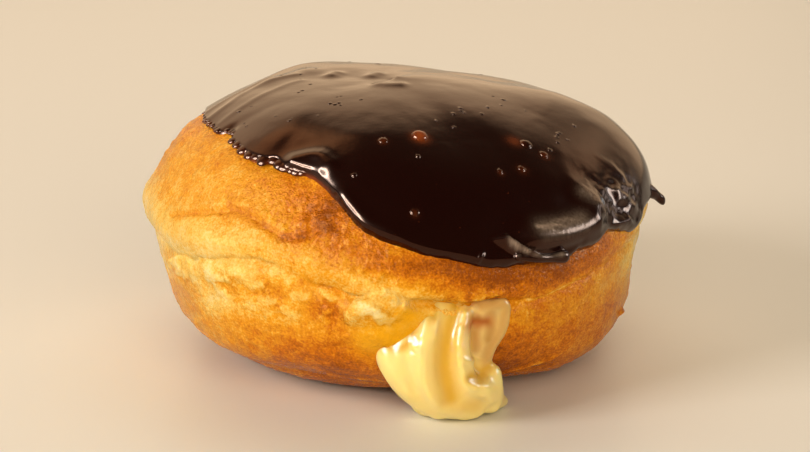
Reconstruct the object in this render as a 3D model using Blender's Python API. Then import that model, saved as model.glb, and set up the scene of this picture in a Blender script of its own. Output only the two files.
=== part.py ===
"""A filled yeast doughnut with a chocolate glaze, and custard that has run out of its side.

Metres, +Z up. The origin is the middle of the flat spot that the bun rests on. The custard runs out at the
front, towards -Y. An azimuth is in degrees round +Z: 0 is +X, -90 is the front and 180 is -X.
"""

from math import ceil, pi, radians

import bmesh
import bpy
import numpy as np
from mathutils import Matrix

MM = 0.001

# The bun is a turned shape: a squarish underside and a rounder top that meet at the waist.
BUN_RADIUS = 44.6 * MM
WAIST_Z = 25.5 * MM
CROWN_Z = 48.0 * MM
UNDERSIDE_SQUARENESS = 3.4
TOP_SQUARENESS = 2.15
BASE_PRESSED = 0.6 * MM
BACK_FLATTENED = 0.03
CROWN_SLOPE = 0.045
BUN_COLUMNS = 80
BUN_ROWS = 33
CROWN_RING = 1.5 * MM

# The crease runs round the bun where its two fried sides meet, and the upper side hangs over it a little.
CREASE_DEPTH = 0.9 * MM
CREASE_WIDTH = 1.6 * MM
BROW_RISE = 2.9 * MM
BROW_HEIGHT = 0.6 * MM
# The crease's height at azimuths all round the bun.
CREASE_LINE = (
    (-175, 25.0 * MM),
    (-160, 24.6 * MM),
    (-150, 24.4 * MM),
    (-143, 24.8 * MM),
    (-134.5, 26.0 * MM),
    (-125, 27.5 * MM),
    (-119, 27.6 * MM),
    (-113, 26.7 * MM),
    (-106, 25.0 * MM),
    (-101, 24.6 * MM),
    (-97, 23.9 * MM),
    (-91, 25.4 * MM),
    (-85, 23.0 * MM),
    (-80, 22.4 * MM),
    (-73, 21.5 * MM),
    (-66, 21.4 * MM),
    (-59, 20.8 * MM),
    (-53.5, 21.3 * MM),
    (-48, 22.1 * MM),
    (-41, 23.0 * MM),
    (-25, 24.2 * MM),
    (-5, 25.2 * MM),
    (20, 24.4 * MM),
    (48, 23.4 * MM),
    (75, 24.6 * MM),
    (105, 25.6 * MM),
    (135, 24.4 * MM),
    (160, 25.4 * MM),
)
# How open the crease is at azimuths all round the bun, from 0 to 1.
CREASE_OPENNESS = (
    (-170, 0.3),
    (-150, 0.35),
    (-142, 0.9),
    (-119, 1.0),
    (-114, 0.3),
    (-109, 0.35),
    (-105.5, 1.0),
    (-97, 1.0),
    (-92, 0.3),
    (-60, 0.4),
    (-40, 0.4),
    (-10, 0.35),
    (40, 0.7),
    (110, 0.5),
    (150, 0.7),
)
# The surface settles to the plain turned shape over these heights above the base and below the crown.
BASE_FADE = 3.0 * MM
CROWN_FADE = 4.0 * MM

# Swells and dents: azimuth, height, spread in azimuth, spread in height, and how far the surface moves.
SWELLS = (
    (180, 28.0 * MM, 26, 3.2 * MM, 0.9 * MM),
    (172, 38.5 * MM, 24, 3.6 * MM, 0.8 * MM),
    (122, 45.0 * MM, 34, 5.0 * MM, 1.3 * MM),
    (-168, 14.5 * MM, 38, 9.0 * MM, -2.7 * MM),
    (-165, 25.0 * MM, 22, 3.0 * MM, -0.6 * MM),
    (-118, 3.0 * MM, 46, 4.5 * MM, -1.9 * MM),
    (166, 43.6 * MM, 22, 4.6 * MM, 0.6 * MM),
    (10, 40.5 * MM, 26, 6.0 * MM, 2.3 * MM),
    (-4, 34.0 * MM, 18, 5.5 * MM, 1.2 * MM),
    (-22, 5.5 * MM, 24, 5.0 * MM, 1.0 * MM),
    (-6, 17.0 * MM, 22, 6.5 * MM, -1.5 * MM),
    (-48, 5.0 * MM, 16, 4.0 * MM, 0.6 * MM),
    (-128, 33.0 * MM, 24, 4.0 * MM, -0.7 * MM),
    (-94, 21.5 * MM, 7, 3.6 * MM, 2.2 * MM),
    (-93, 16.9 * MM, 6, 2.2 * MM, 1.1 * MM),
    (-72, 27.0 * MM, 15, 2.6 * MM, 1.0 * MM),
    (60, 30.0 * MM, 22, 6.0 * MM, 1.0 * MM),
    (112, 20.0 * MM, 26, 6.0 * MM, -1.0 * MM),
    (140, 33.0 * MM, 20, 5.0 * MM, 0.8 * MM),
)
# Slow waves round the bun: waves in a turn, phase, and how far the surface moves.
WAVES = ((3, 40, 0.35 * MM), (5, 110, 0.3 * MM), (8, 15, 0.18 * MM))

# The glaze covers the top down to this height at each azimuth, lowest at the front right.
GLAZE_EDGE = (
    (-172, 40.9 * MM),
    (-164, 41.2 * MM),
    (-157, 41.2 * MM),
    (-153, 41.8 * MM),
    (-147, 41.2 * MM),
    (-140, 40.8 * MM),
    (-134, 40.4 * MM),
    (-129, 40.4 * MM),
    (-126, 40.7 * MM),
    (-121, 40.3 * MM),
    (-116, 40.0 * MM),
    (-110.5, 39.6 * MM),
    (-107, 38.7 * MM),
    (-103, 37.2 * MM),
    (-100, 35.5 * MM),
    (-97, 33.9 * MM),
    (-93, 32.7 * MM),
    (-88.5, 31.5 * MM),
    (-82, 30.1 * MM),
    (-76, 28.9 * MM),
    (-69.5, 27.6 * MM),
    (-65, 27.3 * MM),
    (-60, 27.2 * MM),
    (-54, 26.8 * MM),
    (-50, 26.6 * MM),
    (-47.5, 27.5 * MM),
    (-42.5, 27.5 * MM),
    (-37, 28.6 * MM),
    (-30, 28.0 * MM),
    (-26, 27.0 * MM),
    (-22.5, 27.4 * MM),
    (-19.5, 28.4 * MM),
    (-16, 28.8 * MM),
    (-9, 29.0 * MM),
    (0, 30.0 * MM),
    (18, 31.6 * MM),
    (34, 29.4 * MM),
    (54, 33.4 * MM),
    (73, 31.2 * MM),
    (95, 35.8 * MM),
    (114, 34.2 * MM),
    (136, 38.6 * MM),
    (155, 38.2 * MM),
    (172, 40.4 * MM),
)
GLAZE_GAP = 0.35 * MM
GLAZE_THICKNESS = 1.4 * MM
THICKEST_AT = -30
THICKNESS_CHANGE = 0.35
# The rim is round, rounder still at the front left, and the coat is a little thinner near it.
RIM_WIDTH = 1.4 * MM
ROUNDER_RIM_AT = -104
ROUNDER_RIM_SPREAD = 13
ROUNDER_RIM_GROWTH = 1.3
RIM_THINNER = 0.45 * MM
THINNER_WIDTH = 8.0 * MM
# At the far left the glaze runs out into a thin edge.
THIN_EDGE_AT = -158
THIN_EDGE_SPREAD = 44
THIN_EDGE_WIDTH = 5.0 * MM
THIN_EDGE_LOSS = 0.6
GLAZE_UNDER_ROWS = 12
UNDER_CROWDING = 1.3
GLAZE_OVER_ROWS = 14
OVER_CROWDING = 1.6
# Drips that leave the glaze's edge, each through points of x, y, z and radius.
GLAZE_DRIPS = (
    (
        (44.4 * MM, -6.6 * MM, 31.2 * MM, 1.7 * MM),
        (46.1 * MM, -6.0 * MM, 30.3 * MM, 1.2 * MM),
        (47.4 * MM, -5.2 * MM, 29.3 * MM, 0.85 * MM),
        (48.3 * MM, -4.7 * MM, 28.4 * MM, 0.8 * MM),
        (48.6 * MM, -4.6 * MM, 27.8 * MM, 0.5 * MM),
    ),
    (
        (20.6 * MM, -41.2 * MM, 29.3 * MM, 0.7 * MM),
        (23.7 * MM, -39.8 * MM, 28.6 * MM, 0.8 * MM),
        (26.6 * MM, -38.0 * MM, 28.1 * MM, 0.85 * MM),
        (28.3 * MM, -36.9 * MM, 28.0 * MM, 1.2 * MM),
    ),
)
DRIP_VOXEL = 0.4 * MM
DRIP_SMOOTHING = 2
DRIP_KEPT = 0.12
DRIP_CLEARANCE = 0.6 * MM

# The custard fills a flat pocket inside the bun and leaves it through a torn mouth at the front.
POCKET_CENTRE = (3.0 * MM, -3.0 * MM, 23.0 * MM)
POCKET_RADII = (25.0 * MM, 23.0 * MM, 8.5 * MM)
# Ropes of custard that flow side by side into one tongue, each through points of x, y, z and radius.
CUSTARD_ROPES = {
    "neck_left": (
        (5.0 * MM, -18.0 * MM, 22.0 * MM, 5.5 * MM),
        (7.0 * MM, -32.0 * MM, 21.0 * MM, 4.0 * MM),
        (7.4 * MM, -41.2 * MM, 19.6 * MM, 2.9 * MM),
    ),
    "neck_right": (
        (8.0 * MM, -18.0 * MM, 22.0 * MM, 5.5 * MM),
        (13.0 * MM, -31.0 * MM, 21.0 * MM, 4.0 * MM),
        (14.6 * MM, -39.8 * MM, 19.8 * MM, 2.3 * MM),
    ),
    "left_lobe": (
        (0.8 * MM, -39.8 * MM, 16.4 * MM, 2.6 * MM),
        (-0.2 * MM, -42.7 * MM, 13.0 * MM, 2.8 * MM),
        (1.7 * MM, -43.5 * MM, 9.4 * MM, 2.9 * MM),
        (4.6 * MM, -42.2 * MM, 6.0 * MM, 3.0 * MM),
        (7.6 * MM, -40.4 * MM, 3.6 * MM, 3.2 * MM),
    ),
    "left_web": (
        (3.0 * MM, -41.2 * MM, 17.6 * MM, 2.0 * MM),
        (2.0 * MM, -43.4 * MM, 14.4 * MM, 2.4 * MM),
        (2.8 * MM, -43.8 * MM, 10.4 * MM, 2.7 * MM),
    ),
    "left_hollow": (
        (6.0 * MM, -41.4 * MM, 18.6 * MM, 2.0 * MM),
        (4.3 * MM, -43.6 * MM, 15.0 * MM, 2.6 * MM),
        (4.2 * MM, -43.9 * MM, 11.0 * MM, 2.8 * MM),
        (6.4 * MM, -42.4 * MM, 6.4 * MM, 3.0 * MM),
        (10.0 * MM, -39.8 * MM, 3.6 * MM, 3.4 * MM),
    ),
    "middle_ridge": (
        (6.5 * MM, -42.1 * MM, 19.6 * MM, 1.9 * MM),
        (5.8 * MM, -43.8 * MM, 16.6 * MM, 2.3 * MM),
        (5.6 * MM, -44.4 * MM, 10.6 * MM, 2.7 * MM),
        (8.0 * MM, -42.5 * MM, 5.4 * MM, 3.0 * MM),
        (12.0 * MM, -39.6 * MM, 3.2 * MM, 3.3 * MM),
    ),
    "valley": (
        (9.0 * MM, -41.4 * MM, 20.0 * MM, 2.3 * MM),
        (8.4 * MM, -42.9 * MM, 15.5 * MM, 2.5 * MM),
        (8.6 * MM, -43.3 * MM, 10.4 * MM, 2.8 * MM),
        (10.6 * MM, -42.1 * MM, 5.6 * MM, 3.2 * MM),
        (13.0 * MM, -39.8 * MM, 3.4 * MM, 3.2 * MM),
    ),
    "right_ridge": (
        (11.5 * MM, -41.8 * MM, 19.4 * MM, 1.8 * MM),
        (11.1 * MM, -44.0 * MM, 16.0 * MM, 1.8 * MM),
        (11.4 * MM, -44.6 * MM, 11.4 * MM, 2.0 * MM),
        (13.0 * MM, -43.4 * MM, 7.9 * MM, 2.2 * MM),
        (15.0 * MM, -41.6 * MM, 6.6 * MM, 2.4 * MM),
        (16.0 * MM, -40.2 * MM, 5.0 * MM, 2.3 * MM),
    ),
    "right_foot": (
        (14.4 * MM, -40.6 * MM, 9.6 * MM, 1.6 * MM),
        (16.0 * MM, -40.4 * MM, 8.8 * MM, 1.9 * MM),
        (16.4 * MM, -40.0 * MM, 5.8 * MM, 2.2 * MM),
        (16.2 * MM, -38.4 * MM, 3.0 * MM, 2.4 * MM),
    ),
    "foot": (
        (6.0 * MM, -37.6 * MM, 3.4 * MM, 3.6 * MM),
        (11.0 * MM, -37.6 * MM, 3.8 * MM, 4.0 * MM),
        (15.0 * MM, -37.2 * MM, 4.0 * MM, 3.6 * MM),
        (17.0 * MM, -36.0 * MM, 2.2 * MM, 2.0 * MM),
        (18.8 * MM, -34.0 * MM, 1.0 * MM, 1.0 * MM),
    ),
    "film": (
        (14.5 * MM, -41.1 * MM, 20.0 * MM, 1.2 * MM),
        (18.5 * MM, -39.6 * MM, 20.4 * MM, 1.1 * MM),
        (18.4 * MM, -39.7 * MM, 18.2 * MM, 1.2 * MM),
        (17.6 * MM, -40.1 * MM, 15.7 * MM, 1.2 * MM),
        (16.4 * MM, -40.6 * MM, 13.9 * MM, 1.2 * MM),
        (15.6 * MM, -40.8 * MM, 12.2 * MM, 1.3 * MM),
        (15.1 * MM, -40.7 * MM, 10.4 * MM, 1.6 * MM),
    ),
    "film_middle": (
        (15.8 * MM, -40.5 * MM, 19.8 * MM, 1.2 * MM),
        (16.8 * MM, -40.1 * MM, 17.6 * MM, 1.1 * MM),
        (16.2 * MM, -40.4 * MM, 15.0 * MM, 1.1 * MM),
    ),
    "window": (
        (14.0 * MM, -38.8 * MM, 19.0 * MM, 2.4 * MM),
        (13.8 * MM, -39.2 * MM, 16.0 * MM, 2.4 * MM),
        (13.8 * MM, -39.6 * MM, 13.0 * MM, 2.4 * MM),
        (14.2 * MM, -39.7 * MM, 10.5 * MM, 2.6 * MM),
    ),
}
# The crust is open along this rope too, where a thin film of custard has sunk into the mouth.
MOUTH_OPENINGS = (
    (
        (14.6 * MM, -41.4 * MM, 19.4 * MM, 1.9 * MM),
        (14.2 * MM, -41.4 * MM, 17.0 * MM, 2.1 * MM),
        (14.0 * MM, -41.5 * MM, 15.0 * MM, 2.1 * MM),
        (13.9 * MM, -41.6 * MM, 12.6 * MM, 1.8 * MM),
    ),
)
CUSTARD_VOXEL = 0.8 * MM
CUSTARD_SMOOTHING = 5
CUSTARD_KEPT = 0.09
MOUTH_CLEARANCE = 0.55 * MM
MOUTH_KEPT = 0.066
BALL_STEP = 0.35
BALL_ROUNDNESS = 2
POCKET_ROUNDNESS = 4
FLOOR_SIZE = 0.3

PROFILE_SAMPLES = 1441
TURN = 360
# Half the steps, round and along, over which a slope of the surface is taken.
STEP_ROUND = 0.5
STEP_ALONG = 0.3 * MM


def material(name, colour, roughness):
    """A plain surface of one colour."""
    made = bpy.data.materials.new(name)
    made.use_nodes = True
    shader = made.node_tree.nodes["Principled BSDF"]
    shader.inputs["Base Color"].default_value = (*colour, 1)
    shader.inputs["Roughness"].default_value = roughness
    return made


def curve_through(at, places, values):
    """Values at the places 'at' on the smooth curve through the given points."""
    slopes = np.gradient(values, places, axis=0)
    i = np.clip(np.searchsorted(places, at, side="right") - 1, 0, len(places) - 2)
    width = places[i + 1] - places[i]
    t = (at - places[i]) / width
    if values.ndim > 1:
        t, width = t[..., None], width[..., None]
    rise = values[i + 1] - values[i]
    return (
        values[i]
        + rise * t * t * (3 - 2 * t)
        + slopes[i] * width * t * (1 - t) ** 2
        - slopes[i + 1] * width * t * t * (1 - t)
    )


def apart(azimuth, other):
    """How many degrees one azimuth is from another, from -180 to 180."""
    return (azimuth - other + TURN / 2) % TURN - TURN / 2


def bun_profile():
    """Radius, height and outward normal at even steps of the half outline, from base to crown."""
    angle = np.linspace(-pi / 2, pi / 2, PROFILE_SAMPLES)
    under = angle < 0
    power = 2 / np.where(under, UNDERSIDE_SQUARENESS, TOP_SQUARENESS)
    reach = np.where(under, WAIST_Z + BASE_PRESSED, CROWN_Z - WAIST_Z)
    radius = BUN_RADIUS * np.cos(angle).clip(0) ** power
    height = WAIST_Z + reach * np.sign(angle) * np.abs(np.sin(angle)) ** power
    along = np.concatenate([[0], np.cumsum(np.hypot(np.diff(radius), np.diff(height)))])
    even = np.linspace(0, along[-1], PROFILE_SAMPLES)
    radius, height = np.interp(even, along, radius), np.interp(even, along, height)
    out, up = np.gradient(height, even), -np.gradient(radius, even)
    size = np.hypot(out, up)
    return even, radius, height, out / size, up / size


ALONG, RADIUS, HEIGHT, OUTWARD, UPWARD = bun_profile()
UPPER = slice(PROFILE_SAMPLES // 2, None)
BASE_AT = np.interp(0, HEIGHT, ALONG)
CROWN_AT = np.interp(-CROWN_RING, -RADIUS[UPPER], ALONG[UPPER])


def line_height(line, azimuth):
    """The height of a line that runs once round the bun."""
    points = np.array(sorted(line))
    points = np.concatenate([points[-3:] - (TURN, 0), points, points[:3] + (TURN, 0)])
    return curve_through(apart(azimuth, 0), points[:, 0], points[:, 1])


def crease_open(azimuth):
    """How open the crease is, from 0 to 1."""
    places, shares = np.array(CREASE_OPENNESS).T
    return np.interp(azimuth, places, shares, period=TURN)


def swell(azimuth, height):
    """How far the bun's surface stands off its turned shape."""
    off = np.zeros(np.broadcast(azimuth, height).shape)
    for at, level, spread, tall, amount in SWELLS:
        off += amount * np.exp(-((apart(azimuth, at) / spread) ** 2) - ((height - level) / tall) ** 2)
    for count, phase, amount in WAVES:
        off += amount * np.cos(np.radians(count * azimuth + phase))
    over = height - line_height(CREASE_LINE, azimuth)
    off -= CREASE_DEPTH * crease_open(azimuth) * np.exp(-((over / CREASE_WIDTH) ** 2))
    off += BROW_HEIGHT * np.exp(-(((over - BROW_RISE) / BROW_RISE) ** 2))
    clear_of_base = np.clip(height / BASE_FADE, 0, 1) ** 2
    clear_of_crown = np.clip((CROWN_Z - height) / CROWN_FADE, 0, 1)
    return off * clear_of_base * clear_of_crown


def bun_point(azimuth, along):
    """Points on the bun at an azimuth in degrees and a way along the outline from the base's centre."""
    radius, height = np.interp(along, ALONG, RADIUS), np.interp(along, ALONG, HEIGHT)
    off = swell(azimuth, height)
    radius = radius + off * np.interp(along, ALONG, OUTWARD)
    height = height + off * np.interp(along, ALONG, UPWARD)
    turn = np.radians(azimuth)
    x = radius * np.cos(turn)
    y = radius * np.sin(turn) * (1 - BACK_FLATTENED * np.clip(np.sin(turn), 0, 1))
    raised = np.clip((height - WAIST_Z) / (CROWN_Z - WAIST_Z), 0, 1)
    return np.stack([x, y, np.maximum(height - CROWN_SLOPE * x * raised, 0)], axis=-1)


def bun_normal(azimuth, along):
    """Outward unit normals of the bun."""
    east = bun_point(azimuth + STEP_ROUND, along) - bun_point(azimuth - STEP_ROUND, along)
    north = bun_point(azimuth, along + STEP_ALONG) - bun_point(azimuth, along - STEP_ALONG)
    normal = np.cross(east, north)
    return normal / np.linalg.norm(normal, axis=-1, keepdims=True)


def closed_rings(name, rings, surface):
    """An object whose skin runs through rings of points, with a point in the middle of each end ring."""
    rows, columns, _ = rings.shape
    bm = bmesh.new()
    ring = [[bm.verts.new(point) for point in row] for row in rings]
    for low, high in zip(ring, ring[1:]):
        for i in range(columns):
            j = (i + 1) % columns
            bm.faces.new((low[i], low[j], high[j], high[i]))
    for end in (0, -1):
        middle = bm.verts.new(rings[end].mean(axis=0))
        for i in range(columns):
            bm.faces.new((ring[end][i], ring[end][(i + 1) % columns], middle))
    bmesh.ops.recalc_face_normals(bm, faces=bm.faces)
    return object_from(bm, name, surface)


def object_from(bm, name, surface):
    """A smooth-shaded object of this shape and material, in the scene."""
    mesh = bpy.data.meshes.new(name)
    bm.to_mesh(mesh)
    bm.free()
    mesh.shade_smooth()
    mesh.materials.append(surface)
    made = bpy.data.objects.new(name, mesh)
    bpy.context.scene.collection.objects.link(made)
    return made


def as_helper(obj):
    """Marks a shape that only cuts or joins others."""
    obj.hide_render = True
    obj.display_type = "WIRE"
    return obj


def ropes_mesh(ropes, grow):
    """Overlapping balls along each rope, which is a curve through points of x, y, z and radius."""
    bm = bmesh.new()
    for rope in ropes:
        points = np.array(rope)
        places = np.concatenate([[0], np.cumsum(np.linalg.norm(np.diff(points[:, :3], axis=0), axis=1))])
        count = ceil(places[-1] / (BALL_STEP * points[:, 3].min())) + 1
        for x, y, z, radius in curve_through(np.linspace(0, places[-1], count), places, points):
            at = Matrix.Translation((x, y, z))
            bmesh.ops.create_icosphere(bm, subdivisions=BALL_ROUNDNESS, radius=radius + grow, matrix=at)
    return bm


def melt(obj, voxel, smoothing, kept):
    """Makes one smooth skin of an object's overlapping balls."""
    remesh = obj.modifiers.new("one_skin", "REMESH")
    remesh.mode = "VOXEL"
    remesh.voxel_size = voxel
    remesh.use_smooth_shade = True
    smooth = obj.modifiers.new("flow", "SMOOTH")
    smooth.factor = 0.5
    smooth.iterations = smoothing
    decimate = obj.modifiers.new("fewer_faces", "DECIMATE")
    decimate.ratio = kept
    return obj


def boolean(obj, other, operation):
    """Joins another object to this one, or cuts it away."""
    modifier = obj.modifiers.new(other.name, "BOOLEAN")
    modifier.operation = operation
    modifier.object = other
    return modifier


def custard_shape(name, ropes, grow, kept, surface):
    """The pocket and these ropes of custard, grown outwards by 'grow'."""
    bm = ropes_mesh(ropes, grow)
    radii = [radius + grow for radius in POCKET_RADII]
    at = Matrix.Translation(POCKET_CENTRE) @ Matrix.Diagonal((*radii, 1))
    bmesh.ops.create_icosphere(bm, subdivisions=POCKET_ROUNDNESS, radius=1, matrix=at)
    return melt(object_from(bm, name, surface), CUSTARD_VOXEL, CUSTARD_SMOOTHING, kept)


def make_custard(surface):
    """The custard, standing flat on the floor where its foot has spread."""
    custard = custard_shape("custard", CUSTARD_ROPES.values(), 0, CUSTARD_KEPT, surface)
    bm = bmesh.new()
    bmesh.ops.create_cube(bm, size=FLOOR_SIZE, matrix=Matrix.Translation((0, 0, -FLOOR_SIZE / 2)))
    floor = as_helper(object_from(bm, "floor_cutter", surface))
    boolean(custard, floor, "DIFFERENCE")
    return custard


def bun_shape(name, grow, surface):
    """The whole bun without its filling, grown outwards by 'grow'."""
    azimuth = np.arange(BUN_COLUMNS) * TURN / BUN_COLUMNS
    along = np.linspace(BASE_AT, CROWN_AT, BUN_ROWS)
    around, along = np.meshgrid(azimuth, along)
    rings = bun_point(around, along)
    if grow:
        rings += grow * bun_normal(around, along)
    return closed_rings(name, rings, surface)


def make_dough(surface):
    """The bun, with the pocket and the torn mouth that the custard fills."""
    dough = bun_shape("dough", 0, surface)
    ropes = [*CUSTARD_ROPES.values(), *MOUTH_OPENINGS]
    room = as_helper(custard_shape("custard_room", ropes, MOUTH_CLEARANCE, MOUTH_KEPT, surface))
    boolean(dough, room, "DIFFERENCE")
    return dough


def glaze_edge_at(azimuth):
    """How far along the bun's outline the glaze ends."""
    return np.interp(line_height(GLAZE_EDGE, azimuth), HEIGHT, ALONG)


def glaze_thickness(azimuth, from_edge):
    """The glaze's thickness: a round rim, thinner there, and a coat that is thicker on one side."""
    rounder = np.exp(-((apart(azimuth, ROUNDER_RIM_AT) / ROUNDER_RIM_SPREAD) ** 2))
    into_rim = np.clip(from_edge / (RIM_WIDTH * (1 + ROUNDER_RIM_GROWTH * rounder)), 0, 1)
    rim = np.sqrt(1 - (1 - into_rim) ** 2)
    side = 1 + THICKNESS_CHANGE * np.cos(np.radians(azimuth - THICKEST_AT))
    from_thinnest = apart(azimuth, THIN_EDGE_AT) / THIN_EDGE_SPREAD
    thinned = np.exp(-(from_thinnest**2) - (from_edge / THIN_EDGE_WIDTH) ** 2)
    coat = GLAZE_THICKNESS - RIM_THINNER * (1 - rounder) * np.exp(-((from_edge / THINNER_WIDTH) ** 2))
    return rim * side * coat * (1 - THIN_EDGE_LOSS * thinned)


def make_glaze(surface):
    """The glaze: a coat that follows the bun, and the drips that leave its edge."""
    azimuth = np.arange(BUN_COLUMNS) * TURN / BUN_COLUMNS
    edge = glaze_edge_at(azimuth)
    under = (np.linspace(1, 0, GLAZE_UNDER_ROWS) ** UNDER_CROWDING)[:, None]
    over = (np.linspace(0, 1, GLAZE_OVER_ROWS + 1)[1:] ** OVER_CROWDING)[:, None]
    share = np.concatenate([under, over])
    along = edge + share * (CROWN_AT - edge)
    around = np.broadcast_to(azimuth, along.shape)
    thickness = glaze_thickness(around, along - edge)
    thickness[: len(under)] = 0
    lift = (GLAZE_GAP + thickness)[..., None]
    rings = bun_point(around, along) + lift * bun_normal(around, along)
    glaze = closed_rings("chocolate_glaze", rings, surface)
    drips = as_helper(object_from(ropes_mesh(GLAZE_DRIPS, 0), "glaze_drips", surface))
    melt(drips, DRIP_VOXEL, DRIP_SMOOTHING, DRIP_KEPT)
    boolean(drips, as_helper(bun_shape("drip_cutter", DRIP_CLEARANCE, surface)), "DIFFERENCE")
    boolean(glaze, drips, "UNION")
    return glaze


def main():
    for obj in list(bpy.data.objects):
        bpy.data.objects.remove(obj)
    make_dough(material("fried_dough", (0.63, 0.29, 0.045), 0.55))
    make_custard(material("custard", (0.86, 0.62, 0.2), 0.3))
    make_glaze(material("chocolate", (0.025, 0.008, 0.004), 0.15))


if __name__ == "__main__":
    main()
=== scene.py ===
"""Looks of a filled yeast doughnut with a chocolate glaze, and custard that has run out of its side.

Metres, +Z up. The origin is the middle of the flat spot that the bun rests on. The custard runs out at the
front, towards -Y. An azimuth is in degrees round +Z: 0 is +X, -90 is the front and 180 is -X.
"""

from math import ceil, cos, pi, radians, sin

import bmesh
import bpy
import numpy as np
from mathutils import Matrix, Vector
from mathutils.bvhtree import BVHTree


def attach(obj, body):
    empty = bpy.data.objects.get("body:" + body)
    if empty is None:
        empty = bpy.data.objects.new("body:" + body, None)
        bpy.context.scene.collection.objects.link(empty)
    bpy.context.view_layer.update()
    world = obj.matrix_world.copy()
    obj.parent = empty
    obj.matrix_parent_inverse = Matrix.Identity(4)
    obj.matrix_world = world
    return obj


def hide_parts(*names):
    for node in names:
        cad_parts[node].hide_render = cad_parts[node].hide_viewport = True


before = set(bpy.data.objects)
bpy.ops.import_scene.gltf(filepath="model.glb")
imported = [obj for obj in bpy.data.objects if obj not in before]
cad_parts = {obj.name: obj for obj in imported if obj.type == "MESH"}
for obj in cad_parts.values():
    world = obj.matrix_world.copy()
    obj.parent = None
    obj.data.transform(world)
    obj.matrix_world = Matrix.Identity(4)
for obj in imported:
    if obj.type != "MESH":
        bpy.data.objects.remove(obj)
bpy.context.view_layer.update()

MM = 0.001
TURN = 360


def in_metres(lengths, *rows):
    """Rows of numbers, with the values at the places in 'lengths' turned from millimetres to metres."""
    return tuple(tuple(n * MM if i in lengths else n for i, n in enumerate(row)) for row in rows)


def lines_in_metres(unit, *rows):
    """Lines round the bun: pairs of azimuth and height or way along, width, and an amount in this unit."""
    return tuple((in_metres([1], *line), width * MM, amount * unit) for line, width, amount in rows)


# The bun is a turned shape: a squarish underside and a rounder top that meet at the waist.
BUN_RADIUS = 44.6 * MM
WAIST_Z = 25.5 * MM
CROWN_Z = 48.0 * MM
UNDERSIDE_SQUARENESS = 3.4
TOP_SQUARENESS = 2.15
BASE_PRESSED = 0.6 * MM
BACK_FLATTENED = 0.03
CROWN_SLOPE = 0.045
PROFILE_SAMPLES = 1441
# All swells fade out over these heights at the base and at the crown.
BASE_CLEARANCE = 3 * MM
CROWN_CLEARANCE = 4 * MM

# The crease runs round the bun where its two fried sides meet, and the upper side hangs over it a little.
CREASE_DEPTH = 0.9 * MM
CREASE_WIDTH = 1.6 * MM
BROW_RISE = 2.9 * MM
BROW_HEIGHT = 0.6 * MM

# Tables round the bun give azimuths in degrees and lengths in mm, which the calls turn to metres.

# Swells and dents: azimuth, height, spread in azimuth, spread in height, and how far the surface moves.
SWELLS = in_metres(
    [1, 3, 4],
    (180, 28, 26, 3.2, 0.9), (172, 38.5, 24, 3.6, 0.8), (122, 45, 34, 5, 1.3),
    (-168, 14.5, 38, 9, -2.7), (-165, 25, 22, 3, -0.6), (-118, 3, 46, 4.5, -1.9),
    (166, 43.6, 22, 4.6, 0.6), (10, 40.5, 26, 6, 2.3), (-4, 34, 18, 5.5, 1.2), (-22, 5.5, 24, 5, 1),
    (-6, 17, 22, 6.5, -1.5), (-48, 5, 16, 4, 0.6), (-128, 33, 24, 4, -0.7), (-94, 21.5, 7, 3.6, 2.2),
    (-93, 16.9, 6, 2.2, 1.1), (-72, 27, 15, 2.6, 1), (60, 30, 22, 6, 1), (112, 20, 26, 6, -1),
    (140, 33, 20, 5, 0.8),
)
# Slow waves round the bun: waves in a turn, phase, and how far the surface moves.
WAVES = in_metres([2], (3, 40, 0.35), (5, 110, 0.3), (8, 15, 0.18))

# The glaze covers the top down to this height at each azimuth, lowest at the front right.
GLAZE_EDGE = in_metres(
    [1],
    (-172, 40.9), (-164, 41.2), (-157, 41.2), (-153, 41.8), (-147, 41.2), (-140, 40.8), (-134, 40.4),
    (-129, 40.4), (-126, 40.7), (-121, 40.3), (-116, 40), (-110.5, 39.6), (-107, 38.7), (-103, 37.2),
    (-100, 35.5), (-97, 33.9), (-93, 32.7), (-88.5, 31.5), (-82, 30.1), (-76, 28.9), (-69.5, 27.6),
    (-65, 27.3), (-60, 27.2), (-54, 26.8), (-50, 26.6), (-47.5, 27.5), (-42.5, 27.5), (-37, 28.6),
    (-30, 28), (-26, 27), (-22.5, 27.4), (-19.5, 28.4), (-16, 28.8), (-9, 29), (0, 30), (18, 31.6),
    (34, 29.4), (54, 33.4), (73, 31.2), (95, 35.8), (114, 34.2), (136, 38.6), (155, 38.2), (172, 40.4),
)
GLAZE_THICKNESS = 1.4 * MM
THICKEST_AT = -30
THICKNESS_CHANGE = 0.35
RIM_WIDTH = 1.4 * MM
ROUNDER_RIM_AT = -104
ROUNDER_RIM_SPREAD = 13
ROUNDER_RIM_GROWTH = 1.3
RIM_THINNER = 0.45 * MM
THINNER_WIDTH = 8.0 * MM
# On the left the glaze thins out towards its edge.
THIN_EDGE_AT = -158
THIN_EDGE_SPREAD = 44
THIN_EDGE_WIDTH = 5.0 * MM
THIN_EDGE_LOSS = 0.6
GLAZE_GAP = 0.35 * MM
GLAZE_SUNK = 0.25 * MM
# Where, past the edge, its waves fade out, its relief fades in, and it lifts off the crust.
EDGE_WAVES_FADE = (0, 1.5 * MM)
GLAZE_RELIEF_FADE = (-0.2 * MM, 0.6 * MM)
GLAZE_LIFT_FADE = (0, 1.2 * MM)

# The fine skins have most of their columns at the front, where the custard runs out.
CRUST_COLUMNS = 528
GLAZE_COLUMNS = 600
FRONT = -90
FRONT_CROWDING = 0.45
CRUST_ROWS = 128
HIDDEN_ROWS = 10
GLAZE_UNDER_ROWS = 8
GLAZE_OVER_ROWS = 130
OVER_CROWDING = 1.3
CRUST_PAST_EDGE = 3.0 * MM
CROWN_RING = 0.6 * MM

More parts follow.
